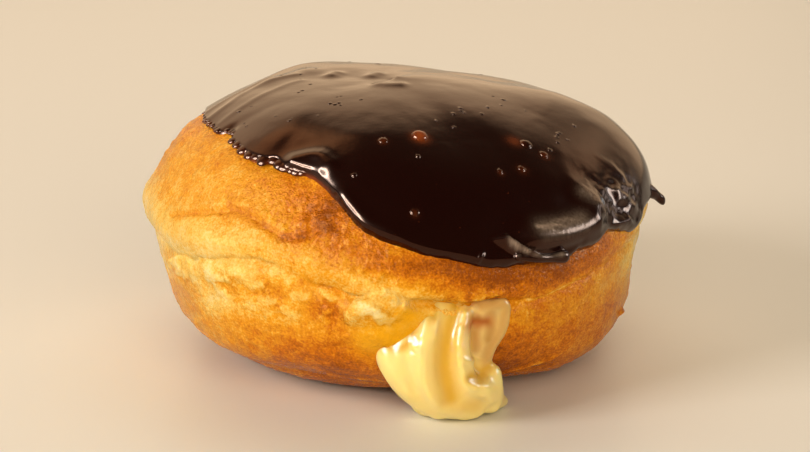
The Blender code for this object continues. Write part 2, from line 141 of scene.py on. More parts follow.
# Drips that leave the glaze's edge, each through points of x, y, z and radius in mm.
GLAZE_DRIPS = (
    (
        (44.4, -6.6, 31.2, 1.7), (46.1, -6, 30.3, 1.2), (47.4, -5.2, 29.3, 0.85),
        (48.3, -4.7, 28.4, 0.8), (48.6, -4.6, 27.8, 0.5),
    ),
    ((20.6, -41.2, 29.3, 0.7), (23.7, -39.8, 28.6, 0.8), (26.6, -38, 28.1, 0.85), (28.3, -36.9, 28, 1.2)),
)
DRIP_VOXEL = 0.25 * MM
DRIP_SMOOTHING = 4

# The custard fills a flat pocket inside the bun and leaves it through a torn mouth at the front.
POCKET_CENTRE = (3.0 * MM, -3.0 * MM, 23.0 * MM)
POCKET_RADII = (25.0 * MM, 23.0 * MM, 8.5 * MM)
# Ropes of custard that flow side by side into one tongue, each through points of x, y, z and radius in mm.
CUSTARD_ROPES = {
    "neck_left": ((5, -18, 22, 5.5), (7, -32, 21, 4), (7.4, -41.2, 19.6, 2.9)),
    "neck_right": ((8, -18, 22, 5.5), (13, -31, 21, 4), (14.6, -39.8, 19.8, 2.3)),
    "left_lobe": (
        (0.8, -39.8, 16.4, 2.6), (-0.2, -42.7, 13, 2.8), (1.7, -43.5, 9.4, 2.9), (4.6, -42.2, 6, 3),
        (7.6, -40.4, 3.6, 3.2),
    ),
    "left_web": ((3, -41.2, 17.6, 2), (2, -43.4, 14.4, 2.4), (2.8, -43.8, 10.4, 2.7)),
    "left_hollow": (
        (6, -41.4, 18.6, 2), (4.3, -43.6, 15, 2.6), (4.2, -43.9, 11, 2.8), (6.4, -42.4, 6.4, 3),
        (10, -39.8, 3.6, 3.4),
    ),
    "middle_ridge": (
        (6.5, -42.1, 19.6, 1.9), (5.8, -43.8, 16.6, 2.3), (5.6, -44.4, 10.6, 2.7), (8, -42.5, 5.4, 3),
        (12, -39.6, 3.2, 3.3),
    ),
    "valley": (
        (9, -41.4, 20, 2.3), (8.4, -42.9, 15.5, 2.5), (8.6, -43.3, 10.4, 2.8), (10.6, -42.1, 5.6, 3.2),
        (13, -39.8, 3.4, 3.2),
    ),
    "right_ridge": (
        (11.5, -41.8, 19.4, 1.8), (11.1, -44, 16, 1.8), (11.4, -44.6, 11.4, 2), (13, -43.4, 7.9, 2.2),
        (15, -41.6, 6.6, 2.4), (16, -40.2, 5, 2.3),
    ),
    "right_foot": (
        (14.4, -40.6, 9.6, 1.6), (16, -40.4, 8.8, 1.9), (16.4, -40, 5.8, 2.2), (16.2, -38.4, 3, 2.4),
    ),
    "foot": (
        (6, -37.6, 3.4, 3.6), (11, -37.6, 3.8, 4), (15, -37.2, 4, 3.6), (17, -36, 2.2, 2),
        (18.8, -34, 1, 1),
    ),
    "film": (
        (14.5, -41.1, 20, 1.2), (18.5, -39.6, 20.4, 1.1), (18.4, -39.7, 18.2, 1.2),
        (17.6, -40.1, 15.7, 1.2), (16.4, -40.6, 13.9, 1.2), (15.6, -40.8, 12.2, 1.3),
        (15.1, -40.7, 10.4, 1.6),
    ),
    "film_middle": ((15.8, -40.5, 19.8, 1.2), (16.8, -40.1, 17.6, 1.1), (16.2, -40.4, 15, 1.1)),
    "window": (
        (14, -38.8, 19, 2.4), (13.8, -39.2, 16, 2.4), (13.8, -39.6, 13, 2.4), (14.2, -39.7, 10.5, 2.6),
    ),
}
# The crust is open along these ropes, in mm, where a thin film of custard has sunk into the mouth.
MOUTH_OPENINGS = (
    ((14.6, -41.4, 19.4, 1.9), (14.2, -41.4, 17, 2.1), (14, -41.5, 15, 2.1), (13.9, -41.6, 12.6, 1.8)),
)

# The crease's height at azimuths all round the bun.
CREASE_LINE = in_metres(
    [1],
    (-175, 25), (-160, 24.6), (-150, 24.4), (-143, 24.8), (-134.5, 26), (-125, 27.5), (-119, 27.6),
    (-113, 26.7), (-106, 25), (-101, 24.6), (-97, 23.9), (-91, 25.4), (-85, 23), (-80, 22.4),
    (-73, 21.5), (-66, 21.4), (-59, 20.8), (-53.5, 21.3), (-48, 22.1), (-41, 23), (-25, 24.2),
    (-5, 25.2), (20, 24.4), (48, 23.4), (75, 24.6), (105, 25.6), (135, 24.4), (160, 25.4),
)
# How open the crease is at azimuths all round the bun, from 0 to 1.
CREASE_OPENNESS = (
    (-170, 0.3), (-150, 0.35), (-142, 0.9), (-119, 1), (-114, 0.3), (-109, 0.35), (-105.5, 1), (-97, 1),
    (-92, 0.3), (-60, 0.4), (-40, 0.4), (-10, 0.35), (40, 0.7), (110, 0.5), (150, 0.7),
)
# Creases, folds and ridges of the crust: azimuths and heights, width, and how far the surface moves.
CRUST_LINES = lines_in_metres(
    MM,
    (((-150, 30.4), (-137, 33), (-128.5, 34.4), (-122, 33.4), (-117, 32.4)), 0.5, -0.6),
    (((-146, 32), (-137, 34), (-128.5, 35.4), (-121, 34.3)), 0.8, 0.25),
    (((-118, 32.3), (-115, 31.7), (-111, 32.3), (-107, 33.6)), 0.6, -0.55),
    (((-113, 35.6), (-109, 36.2), (-105, 37.4)), 0.7, -0.4),
    (((-110, 35.8), (-108, 33.4), (-108.5, 31.6)), 0.5, -0.3),
    (((-116, 36.5), (-114, 34.4), (-115, 32.8)), 0.5, -0.25),
    (((-100, 14.8), (-104, 13.5)), 0.5, -0.35), (((-94.8, 27.6), (-94.2, 27.5)), 0.7, -0.7),
    (((-91.5, 26.9), (-90.5, 26.6)), 0.8, -0.8),
    (((-86, 22.6), (-80, 21.8), (-73, 20.9), (-66, 20.9), (-62.5, 20.4)), 0.7, -0.9),
    (((-85, 24.4), (-80, 23.9), (-73, 23), (-66, 22.8), (-61, 22.2)), 1, 0.45),
    (((-99, 20.6), (-95, 23), (-91, 23.6), (-88, 22.4)), 1.6, 0.55),
    (((-106, 6.9), (-101, 6.7), (-95, 6.2), (-89.5, 6.5)), 0.6, 0.35),
    (((-106, 5.4), (-98, 5), (-90, 5)), 0.8, -0.45),
    (((-62, 5.2), (-58.5, 5.9), (-51.5, 7.3), (-47, 7.8)), 0.5, 0.35),
    (((-60, 4.4), (-53, 5.4), (-45, 6)), 0.9, -0.4),
    (((-59, 20.8), (-53.5, 21.4), (-48, 22.2), (-41, 23.2)), 0.4, 0.3),
    (((-24, 23.1), (-24, 22.9)), 0.4, -0.5), (((-18.4, 10.3), (-17.6, 10.3)), 0.6, 0.8),
    (((-22, 29), (-20, 25), (-21, 20)), 1.6, 0.4),
    (((-152, 27.6), (-160, 26.4), (-170, 26.8)), 1.2, 0.35),
)
# Where the crust below the crease is torn into flakes: azimuth, height, and spread in both.
TORN_PATCHES = in_metres(
    [1, 3],
    (-150, 21, 9, 2.6), (-131, 22.6, 9, 2.8), (-117, 22.4, 8, 3.6), (-103, 21.6, 8, 3),
    (-92, 21.4, 6, 3.4), (-70, 22.4, 9, 1.6), (30, 22, 16, 2.4), (95, 23, 18, 2.4), (160, 23, 16, 2.4),
)
# A wrinkled patch above the crease, by azimuth and way along the outline.
WRINKLED_PATCH = in_metres([1], (-117, 71), (-109, 70), (-102, 69))
WRINKLED_WIDTH = 6 * MM
# The crust is fried this far above and below the crease, and pale between.
FRIED_ABOVE = (5 * MM, 9 * MM)
FRIED_BELOW = (-3 * MM, -7 * MM)
# Layers of noise: height, size of the lumps and seed.
CREASE_WAVES = in_metres([0, 1], (0.5, 3.0, 12))
CRUST_LUMPS = in_metres([0, 1], (0.30, 11, 1), (0.16, 4.2, 2))
# Finer layers: height on the pale crust, how much frying and how much wrinkling add, size and seed.
GRAIN = (0.05 * MM, 0.06 * MM, 0.14 * MM, 1.1 * MM, 3)
PALE_CREASES = (0.12 * MM, -0.12 * MM, 0, 1.2 * MM, 6)
WRINKLES = (0.05 * MM, 0.08 * MM, 0.50 * MM, 2.2 * MM, 4)
WRINKLES_SUNK = 0.75
BLISTERS = (0.06 * MM, 0.12 * MM, 0, 1.9 * MM, 5)
BLISTER_SHARE = 0.3
# The pale creases stand upright: a degree round the bun counts as this far, and heights for a part only.
UPRIGHT_TURN = 0.78 * MM
UPRIGHT_HEIGHT = 0.16
# Ragged flakes: two noises by strength, size and seed, where the flakes' edges lie in them, and heights.
FLAKE_FLATNESS = 1.5
FLAKE_NOISES = in_metres([1], (1, 3.4, 7), (0.5, 1.3, 8))
FLAKE_EDGE = (-0.06, 0.16)
FLAKE_HEIGHT = 0.55 * MM
FLAKE_GAP = 0.2 * MM
# The torn lip over the crease, the ledge below it and the slit between: height, place and width.
LIP_HEIGHT = 0.50 * MM
LIP_EDGE = (-0.15 * MM, 0.25 * MM)
LIP_WIDTH = 2.2 * MM
LEDGE = (0.40 * MM, -2.3 * MM, 1.5 * MM)
SLIT = (-0.50 * MM, -0.2 * MM, 0.4 * MM)
CRUST_RELIEF_FADE = (0.2 * MM, 2.0 * MM)
# How toasted the crust is at each height, from pale at 0 to deep brown at 1, and where it differs or is
# painted with shade.
TOAST_BY_HEIGHT = in_metres(
    [0],
    (0, 0.85), (3.5, 0.68), (10, 0.6), (15, 0.57), (19, 0.36), (22, 0.28), (29, 0.3), (32, 0.45),
    (38, 0.58), (48, 0.6),
)
# The spots at -80 and -72 degrees, just under the glaze's front rim, are painted shade of the rim as well as
# toasting.
TOASTED_AND_SHADED_SPOTS = in_metres(
    [1, 3],
    (-107, 36, 12, 5, 0.24), (-110, 28.5, 14, 3.5, 0.11), (-106, 36, 5, 2, 0.12),
    (-97, 31.2, 5, 2.6, 0.05), (-104, 11, 10, 5, 0.16), (-94, 22.8, 5, 2.2, -0.12),
    (-103, 37, 6, 2.5, 0.1), (-112, 22, 12, 4, 0.12), (-80, 29, 15, 1.4, 0.3), (-90, 30, 14, 4, 0.16),
    (-100, 8, 26, 7, 0.15), (-102, 20, 7, 3.5, 0.25), (-58, 22, 9, 4, 0.13), (-97, 33, 8, 4, 0.13),
    (-87, 22.4, 4, 2, -0.08), (-133, 16, 8, 5, -0.1), (-142, 35, 20, 9, -0.06), (-72, 26, 13, 4, 0.32),
    (-48, 27, 24, 7, 0.58), (-75, 28.5, 14, 3, 0.12), (-35, 14, 30, 11, 0.1), (-62, 7, 14, 7, 0.24),
    (-19, 24, 8, 8, -0.26), (-94, 21.5, 7, 3.5, -0.16), (174, 29, 22, 6, -0.16),
    (-152, 14, 14, 7, -0.06), (40, 28, 34, 7, 0.24), (120, 14, 40, 8, 0.1),
)
TOASTED_LINES = lines_in_metres(
    1,
    (((-150, 30.2), (-137, 32.9), (-128.5, 34.3), (-122, 33.3), (-115, 31.8)), 0.6, 0.24),
    (((-115, 31.6), (-111, 32.2), (-107, 33.4), (-103, 33.5)), 0.9, 0.22),
    (((-59, 20.8), (-53.5, 21.4), (-48, 22.2), (-41, 23.2)), 0.4, -0.75),
    (((-106, 6.9), (-95, 6.3), (-89.5, 6.5)), 0.4, -0.35),
    (((-62, 5.2), (-58.5, 5.9), (-51.5, 7.3)), 0.4, -0.35),
)
TOAST_WAVES = in_metres([0, 1], (1.6, 9, 21), (0.7, 3, 22))
TOAST_CLOUDS = in_metres([1], (0.12, 5, 23), (0.10, 1.6, 24))
GAP_TOAST = 0.22
FLAKE_PALENESS = 0.34
SOAKED_LINE = in_metres([1], (-94, 16), (-89, 17), (-86.5, 20.5))
SOAKED_WIDTH = 3.2 * MM
SOAKED_CLOUDS = in_metres([1], (0.4, 3, 25))
CRUST_COLOURS = (
    (0.0, (0.93, 0.77, 0.38)),
    (0.25, (0.90, 0.62, 0.15)),
    (0.5, (0.82, 0.37, 0.014)),
    (0.75, (0.60, 0.17, 0.003)),
    (1.0, (0.28, 0.065, 0.002)),
)
SOAKED_COLOUR = (0.90, 0.45, 0.008)
GLAZE_COLOUR = (0.0062, 0.0004, 0.0002)
THIN_GLAZE_COLOUR = (0.26, 0.055, 0.012)
GLAZE_SHEEN = (1.0, 0.50, 0.34)
CRUST_SHEEN = (1.0, 0.66, 0.30)
# Painted highlight: the light grey-brown that the glaze's dull patches mix into their colour.
DULL_SKIN_AND_HIGHLIGHT_COLOUR = (0.30, 0.24, 0.20)
CUSTARD_COLOUR = (0.95, 0.79, 0.31)
# Custard marks: painted shade of deeper yellow, a thin film over the crust, and brown dough seen through it.
CUSTARD_MARKS = {"deeper_shade": (0.68, 0.385, 0.008), "film": (0.60, 0.365, 0.11), "seen_through": (0.50, 0.15, 0.02)}
FRIED_COLOUR = (0.8, 0.44, 0.055)
# Fine grain of the surfaces: lumps in a metre, and the contrast of speckles or the height of bumps.
CRUST_SPECKLES = ((2600, 0.5), (1300, 0.34), (700, 0.14), (240, 0.16))
CRUST_BUMPS = in_metres([1], (900, 0.35), (1700, 0.26), (3000, 0.14))
GLAZE_BUMPS = in_metres([1], (500, 0.02), (1500, 0.008))
CUSTARD_BUMPS = in_metres([1], (350, 0.05), (1200, 0.015))
# Streaks of the glaze's dull skin and its painted highlight, drawn out upwards, and its reddish specks, each
# in one cell. A pair is a factor and an offset for the number that it is named after.
STREAK_SCALE = 2200
STREAK_STRETCH = (1.0, 1.0, 0.15)
STREAK_CONTRAST = (1.6, 0.1)
CRINKLE_HEIGHT = 0.12 * MM
GLAZE_ROUGHNESS = (0.15, 0.18)
SPECK_CELLS = 650.0
SPECK_SIZE = (-16.0, 1.3)
SPECK_CLOUDS = 900
SPECK_SHARE = (3.0, -1.7)
SPECK_STRENGTH = 0.5

# Lobes, folds and grooves of the glaze: azimuths and ways along the outline, width, and how far it moves.
GLAZE_LINES = lines_in_metres(
    MM,
    (((-58.5, 67.1), (-52, 66.8), (-46, 66.9), (-42.5, 67.4)), 2.6, 1.9),
    (((-59, 64.6), (-52, 64.4), (-47, 64.6)), 0.6, -0.3), (((-41, 71.6), (-38.8, 69.6)), 2.4, 1.1),
    (((-40.5, 68.2), (-37.6, 67.2)), 0.8, -0.15), (((-33, 65.2), (-29.5, 65)), 1.3, 0.6),
    (((-29, 69.4), (-27.6, 68.8)), 1.2, 0.7), (((-30.5, 70.7), (-26, 70.5), (-22.4, 69.4)), 0.6, 0.3),
    (((-27, 67), (-25, 66.4)), 1, 0.4), (((-26, 76), (-24, 73.5), (-23, 71.4)), 0.9, 0.12),
    (((-71.2, 65.5), (-71.7, 64.9), (-72.3, 64)), 0.35, 0.45),
    (((-119, 81.4), (-116, 82.2), (-112, 82.5), (-107.5, 81)), 1.7, 0.75),
    (((-119, 80.2), (-115, 80.4), (-110, 79.8)), 1, 0.3),
    (((-102, 75), (-100, 73.4), (-96, 70.8), (-90, 69.2)), 1.6, 0.4),
    (((163, 93), (157, 95.5), (150, 97)), 4, 0.8), (((150, 103.9), (158, 103.9)), 1.6, 0.5),
    (((122, 110.2), (140, 110.7)), 1.5, 0.4), (((-116, 110.4), (-80, 110.4)), 1.5, 0.4),
    (((-170, 82), (-175, 86), (-188, 91), (-200, 97)), 1, 0.16),
    (((-162, 83.5), (-165, 88), (-174, 94), (-186, 99)), 1, 0.12),
    (((-178, 82), (-186, 87), (-199, 92)), 0.8, 0.14), (((-155, 82.2), (-154, 84)), 1.3, -0.4),
)
# A skin of glaze stretched like a tent: its ridge by azimuth and way along, how far its two sides reach,
# and where it fades round the ridge's upper and lower end.
TENT_RIDGE = in_metres([1], (-65.2, 68), (-64, 67), (-61.8, 65.2), (-58.6, 64))
TENT_HEIGHT = 1.76 * MM
TENT_LEFT = 3.0 * MM
TENT_RIGHT = 0.45 * MM
TENT_PEAK_FADE = (0.7 * MM, -0.3 * MM)
TENT_FOOT_FADE = (-1.2 * MM, 0.2 * MM)
# Marks on the glaze lie this far off the bun.
THIN_SPOT_LIFT = 2.4 * MM
DULL_SKIN_AND_HIGHLIGHT_LIFT = 3.2 * MM
# Dull, crinkled skin of the glaze, with a painted highlight: azimuths and ways along, width and strength.
DULL_SKIN_AND_HIGHLIGHT_LINES = lines_in_metres(
    1,
    (((-57.6, 68.7), (-55.5, 68), (-53, 67)), 0.55, 0.95),
    (((-57, 68.5), (-53, 68.3), (-50, 67.4)), 0.5, 0.8),
    (((-54, 68.9), (-50, 68.9), (-47.5, 68)), 0.6, 0.6),
    (((-56, 68.2), (-51, 67.9), (-46.5, 68)), 1.7, 0.42), (((-41.5, 72), (-39.8, 70.4)), 1.3, 0.35),
    (((-40.6, 71.5), (-39.6, 70.6)), 0.5, 0.6), (((-39, 69), (-37.5, 67.8)), 0.5, 0.6),
    (((-34.5, 69.6), (-33, 68.4)), 0.5, 0.5), (((-31, 71.2), (-28.5, 70.6)), 0.6, 0.9),
    (((-29.5, 68.6), (-28, 67.6)), 0.7, 0.6), (((-60, 64.5), (-56, 64), (-53.4, 63.8)), 0.5, 0.8),
    (((-71.2, 65.5), (-72.3, 64)), 0.35, 0.5), (((-64.6, 67.6), (-64.8, 66), (-65.6, 64.6)), 0.5, 0.75),
    (((-64.4, 67.6), (-63.8, 66), (-63.8, 64.6)), 0.5, 0.8),
    (((-64.2, 67.6), (-62.8, 66), (-61.8, 64.8)), 0.5, 0.9),
    (((-63.6, 66.8), (-61.6, 65.3), (-59.8, 64.6)), 0.4, 0.9),
)
# A crumpled patch of the glaze, by azimuth and way along.
CRUMPLED_PATCH = in_metres([1], (-36, 70), (-30, 69), (-26, 68))
CRUMPLED_WIDTH = 4.5 * MM
# Layers of noise: height, size of the lumps and seed.
CRUMPLES = in_metres([0, 1], (0.35, 2.0, 35), (0.16, 0.9, 36))
GLAZE_RIPPLES = in_metres([0, 1], (0.22, 13, 32), (0.10, 6, 33), (0.02, 2.5, 34))
EDGE_WAVES = in_metres([0, 1], (0.3, 3.5, 31), (0.12, 1.4, 37))
# The glaze's edge looks reddish near one azimuth: how much, how wide, where, and how far off it fades out.
RED_RIM = 0.9
RED_RIM_WIDTH = 0.6 * MM
RED_RIM_AT = -148
RED_RIM_REACH = (48, 36)
# A thin spot is a short stroke, this long for its width.
SPOT_STROKE = 0.2
# The left edge is beaded: first and last bead and how far apart, in degrees round the bun, and their sizes.
BEADED_FROM, BEADED_TO = -181, -113
BEAD_GAPS = (1.5, 4.2)
BEAD_SIZES = (0.45 * MM, 1.05 * MM)
# They grow along the edge, from 0 to 1 at these azimuths, and vary by chance.
BEAD_GROWTH = ((BEADED_FROM, -150, -135), (0, 0.25, 1))
BEAD_SHARES = (0.6, 1)
BEADS_PAST_EDGE = (0.5 * MM, 1.1 * MM)
BEAD_WIDTHS = (1.0, 1.7)
BEAD_LENGTHS = (1.2, 1.6)
BEAD_FLATNESS = 0.45
BEAD_LIFT = 0.5 * MM
BEAD_SEED = 51
# Bubbles: azimuth, way along, radius, and height over radius. Clusters: azimuth, way along, how many.
BUBBLES = in_metres(
    [1, 2],
    (-81, 89.5, 1.35, 0.5), (-44.8, 84.1, 1, 0.4), (-93.5, 87.3, 0.8, 0.4), (-83, 83.8, 0.45, 0.6),
    (-85.2, 72.8, 0.7, 0.35), (-42.8, 80.9, 0.75, 0.4), (-60, 79.7, 0.5, 0.4), (-53.2, 79.4, 0.6, 0.4),
    (-100, 79, 0.5, 0.5),
)
BUBBLE_CLUSTERS = in_metres(
    [1],
    (-152, 89, 4), (-140, 91, 4), (-128, 97, 4), (-112, 98, 3), (-60, 96, 5), (-50, 93, 3),
    (-30, 83, 5), (-28, 88, 3), (-20, 97, 3), (-160, 98, 3), (150, 95, 4), (60, 90, 4), (100, 96, 3),
    (20, 84, 3),
)
# Bubbles of a cluster: how far they scatter in azimuth and along, their sizes, and height over radius.
CLUSTER_SPREAD = (8, 2.4 * MM)
SMALL_BUBBLES = (0.18 * MM, 0.45 * MM)
SMALL_BUBBLE_RISE = 0.24
BUBBLE_SEED = 41
# A bubble larger than this has finer faces. Its place on the glaze is looked for from this many mm off.
LARGE_BUBBLE = 0.6 * MM
LOOK_FROM = 10
# Where the glaze is thin over a bubble: azimuth, way along, size, and how reddish it looks.
THIN_SPOTS = in_metres(
    [1, 2],
    (-81, 89, 1.3, 1), (-47.5, 85.4, 1.2, 0.4), (-93.5, 87, 0.8, 0.22), (-85.2, 72.4, 0.7, 0.22),
    (-42.8, 80.5, 0.9, 0.2), (-60, 79.2, 0.6, 0.15), (-53.2, 79, 0.9, 0.15),
)
# Painted shade: a deeper yellow in the custard's valleys, under the crust's lip and at its foot, as strokes of
# x and z in mm, width and strength.
SHADED_HOLLOW_LINES = (
    (((10.2, 20.9), (9, 16.5), (8.6, 11.5), (9.6, 6)), 1.9, 0.9),
    (((10.5, 4.6), (13.5, 3.8)), 1.8, 0.45), (((12.9, 9.8), (14.5, 9.4), (15.8, 10)), 1.2, 0.9),
    (((5.2, 22), (6.6, 20.4)), 1.4, 0.9), (((-3, 14.6), (0, 14.8), (2.4, 15.6), (3.8, 18.8)), 0.7, 0.8),
)
# Where it is only a thin film over the crust, and where brown dough shows through it.
FILM_LINES = (
    (((14.6, 20.9), (18.4, 20.6), (18.4, 18.2), (17.6, 15.6), (16.4, 13.6), (15.6, 12)), 1.5, 1),
    (((16.2, 19.6), (16.6, 17), (16, 15)), 1.6, 1),
    (((13.9, 19.2), (13.8, 16.5), (13.8, 13.4)), 1.3, 0.85),
)
SEEN_THROUGH_LINES = (
    (((13.2, 18.2), (14.4, 18), (15.4, 18)), 1.2, 0.95), (((13.6, 16), (14.2, 14)), 1, 0.25),
)
# Ridges and grooves of the custard's front: x and z in mm, width and how far the surface moves, also in mm.
CUSTARD_LINES = (
    (((5.6, 19.5), (4.9, 15.5), (5.2, 9), (7.4, 5)), 0.8, 0.35),
    (((2.7, 15), (2.3, 12), (3.6, 7.6)), 0.7, -0.25), (((0.6, 12.6), (0.8, 10), (2.6, 6.8)), 0.8, 0.15),
    (((10.2, 20.7), (8.9, 16), (8.5, 11.5), (9.4, 6)), 2, -0.4),
    (((11.8, 20), (11, 16), (11.3, 11.4), (12.8, 8.4), (15.4, 7.6)), 0.7, 0.5),
    (((11.8, 13.2), (13.4, 12.3), (15.6, 11.6)), 0.4, 0.35),
    (((12.9, 9.9), (14.6, 9.5), (16, 10.2)), 1, -0.5), (((7.4, 20.2), (6.9, 17)), 0.6, 0.3),
    (((15.6, 6.4), (16.2, 4.4)), 0.9, 0.3),
)
# Where the custard is curdled into small glossy bumps: x and z in mm, and width in mm.
CURDLED_LINES = (
    (((2.6, 13.8), (3.6, 15.6), (4.6, 18.4)), 1.3), (((7.2, 20.4), (6.8, 18.6)), 0.7),
    (((11.6, 20.4), (11, 16), (11.3, 12), (12.4, 9.2), (14.6, 8.4)), 0.9),
    (((15.2, 6.2), (15.6, 4.8)), 1),
)

CUSTARD_LUMPS = in_metres([0, 1], (0.08, 3.0, 61), (0.03, 1.2, 62))
CURDS = in_metres([0, 1], (0.20, 1.0, 63))
# The relief of the custard fades in from the floor upwards, and from inside the bun forwards.
RELIEF_UP = (0, 1.5 * MM)
RELIEF_FORWARD = (-37 * MM, -39 * MM)

# How finely lines, strokes, ropes and skins are made.
LINE_STEP = 1.2 * MM
STROKE_STEPS = 6
TINY = 1e-12
CUSTARD_VOXEL = 0.35 * MM
CUSTARD_SMOOTHING = 12
BALL_STEP = 0.35
CUSTARD_SUNK = 0.12 * MM
# The custard behind this y lies inside the bun and keeps a share of its faces.
INSIDE_FROM = -33.0 * MM
FACES_KEPT = 0.5
FLOOR_SIZE = 0.3
# Noise: how many cells it has before it repeats, its strength, and the places and widths of its domes.
LATTICE = 256
NOISE_STRENGTH = 1.5
DOME_PLACES = (0.2, 0.8)
DOME_WIDTHS = (0.25, 0.55)

# The camera, the floor and the lights.
CAMERA_ELEVATION = radians(17)
CAMERA_DISTANCE = 0.400
CAMERA_TARGET = Vector((0.002, 0, 0.022))
SENSOR = 36
LENS = 96.8
STAGE_REACH = 3.0
STAGE_COLOUR = (0.82, 0.84, 0.87)
LIGHTS_TARGET = (0, 0, 0.02)
COOL, PALE, RUSSET = (0.72, 0.93, 1.0), (1.0, 0.92, 0.85), (1.0, 0.54, 0.24)
WARM, WARMER, AMBER = (1.0, 0.85, 0.68), (1.0, 0.80, 0.55), (1.0, 0.68, 0.40)
# The key light: place, width, height and power. The glints stand there too, each with its size, radiance
# and the pieces that it shows on.
KEY_PLACE = (-0.88, -0.48, 0.50)
KEY = (KEY_PLACE, 0.42, 0.42, 7.7)
GLINTS = {"glint": (0.56, 66.0, "plain"), "glaze_glint": (0.84, 88.0, "glazed")}
GLINT_FADES = (0.2, 0.2, 0.2)
# Softboxes: azimuth, elevation, width, height, radiance, colour, fades at the sides, top and bottom, and
# the pieces that they show on. The one at the back shows on the floor as well.
SOFTBOX_DISTANCE = 0.7
SOFTBOXES = {
    "left_softbox": (140, 26, 0.50, 0.66, 1.30, AMBER, (0.4, 0.3, 0.2), "doughnut"),
    "back_softbox": (97, 25, 0.96, 0.70, 1.36, AMBER, (0.26, 0.30, 0.16), None),
    "upper_softbox": (130, 53, 0.42, 0.26, 1.70, RUSSET, (0.35, 0.35, 0.3), "doughnut"),
    "shoulder_softbox": (45, 36, 0.44, 0.28, 1.25, AMBER, (0.4, 0.4, 0.4), "doughnut"),
    "right_softbox": (56, 16, 0.46, 0.40, 1.20, AMBER, (0.4, 0.4, 0.15), "doughnut"),
    "side_softbox": (-3, 22, 0.42, 0.36, 21.0, COOL, (0.35, 0.30, 0.3), "doughnut"),
    "low_softbox": (26, 13, 0.36, 0.18, 1.5, PALE, (0.3, 0.3, 0.3), "doughnut"),
}
# Fills: place, width, height and power.
FILLS = {
    "back_fill": ((0.0, 0.50, 0.80), 1.2, 0.6, 4.4),
    "front_fill": ((0.36, -0.92, 0.38), 0.9, 0.6, 4.3),
    "top_fill": ((0.05, -0.95, 0.70), 0.9, 0.6, 3.3),
}
AMBIENT = 0.09


def curve_through(at, places, values):
    """Values at the places 'at' on the smooth curve through the given points."""
    slopes = np.gradient(values, places, axis=0)
    i = np.clip(np.searchsorted(places, at, side="right") - 1, 0, len(places) - 2)
    width = places[i + 1] - places[i]
    t = (at - places[i]) / width
    if values.ndim > 1:
        t, width = t[..., None], width[..., None]
    gain = values[i + 1] - values[i]
    return (
        values[i]
        + gain * t * t * (3 - 2 * t)
        + slopes[i] * width * t * (1 - t) ** 2
        - slopes[i + 1] * width * t * t * (1 - t)
    )


def apart(azimuth, other):
    """How many degrees one azimuth is from another, from -180 to 180."""
    return (azimuth - other + TURN / 2) % TURN - TURN / 2


def rise(value, low, high):
    """0 below 'low', 1 above 'high' and a smooth rise between. 'low' may be the larger one, for a fall."""
    t = np.clip((value - low) / (high - low), 0, 1)
    return t * t * (3 - 2 * t)


def bell(value, width):
    """1 where the value is 0, falling smoothly to 0 a few widths away."""
    return np.exp(-((value / width) ** 2))


def hill(azimuth, height, at, level, spread, tall):
    """1 at one place on the bun, falling smoothly to 0 away from it."""
    return np.exp(-((apart(azimuth, at) / spread) ** 2) - ((height - level) / tall) ** 2)


def ways_along(points):
    """How far each point is along a chain of them."""
    return np.concatenate([[0], np.cumsum(np.linalg.norm(np.diff(points, axis=0), axis=1))])


def bun_profile():
    """Radius, height and outward normal at even steps of the half outline, from base to crown."""
    angle = np.linspace(-pi / 2, pi / 2, PROFILE_SAMPLES)
    under = angle < 0
    power = 2 / np.where(under, UNDERSIDE_SQUARENESS, TOP_SQUARENESS)
    reach = np.where(under, WAIST_Z + BASE_PRESSED, CROWN_Z - WAIST_Z)
    radius = BUN_RADIUS * np.cos(angle).clip(0) ** power
    height = WAIST_Z + reach * np.sign(angle) * np.abs(np.sin(angle)) ** power
    along = np.concatenate([[0], np.cumsum(np.hypot(np.diff(radius), np.diff(height)))])
    even = np.linspace(0, along[-1], PROFILE_SAMPLES)
    radius, height = np.interp(even, along, radius), np.interp(even, along, height)
    out, up = np.gradient(height, even), -np.gradient(radius, even)
    size = np.hypot(out, up)
    return even, radius, height, out / size, up / size


ALONG, RADIUS, HEIGHT, OUTWARD, UPWARD = bun_profile()
UPPER = slice(PROFILE_SAMPLES // 2, None)
BASE_AT = np.interp(0, HEIGHT, ALONG)
CROWN_AT = np.interp(-CROWN_RING, -RADIUS[UPPER], ALONG[UPPER])


def line_height(line, azimuth):
    """The height of a line that runs once round the bun."""
    points = np.array(sorted(line))
    points = np.concatenate([points[-3:] - (TURN, 0), points, points[:3] + (TURN, 0)])
    return curve_through(apart(azimuth, 0), points[:, 0], points[:, 1])


def crease_open(azimuth):
    """How open the crease is, from 0 to 1."""
    places, shares = np.array(CREASE_OPENNESS).T
    return np.interp(azimuth, places, shares, period=TURN)


def swell(azimuth, height):
    """How far the bun's surface stands off its turned shape."""
    off = np.zeros(np.broadcast(azimuth, height).shape)
    for *place, amount in SWELLS:
        off += amount * hill(azimuth, height, *place)
    for count, phase, amount in WAVES:
        off += amount * np.cos(np.radians(count * azimuth + phase))
    over = height - line_height(CREASE_LINE, azimuth)
    off -= CREASE_DEPTH * crease_open(azimuth) * bell(over, CREASE_WIDTH)
    off += BROW_HEIGHT * bell(over - BROW_RISE, BROW_RISE)
    clear_of_base = np.clip(height / BASE_CLEARANCE, 0, 1) ** 2
    clear_of_crown = np.clip((CROWN_Z - height) / CROWN_CLEARANCE, 0, 1)
    return off * clear_of_base * clear_of_crown


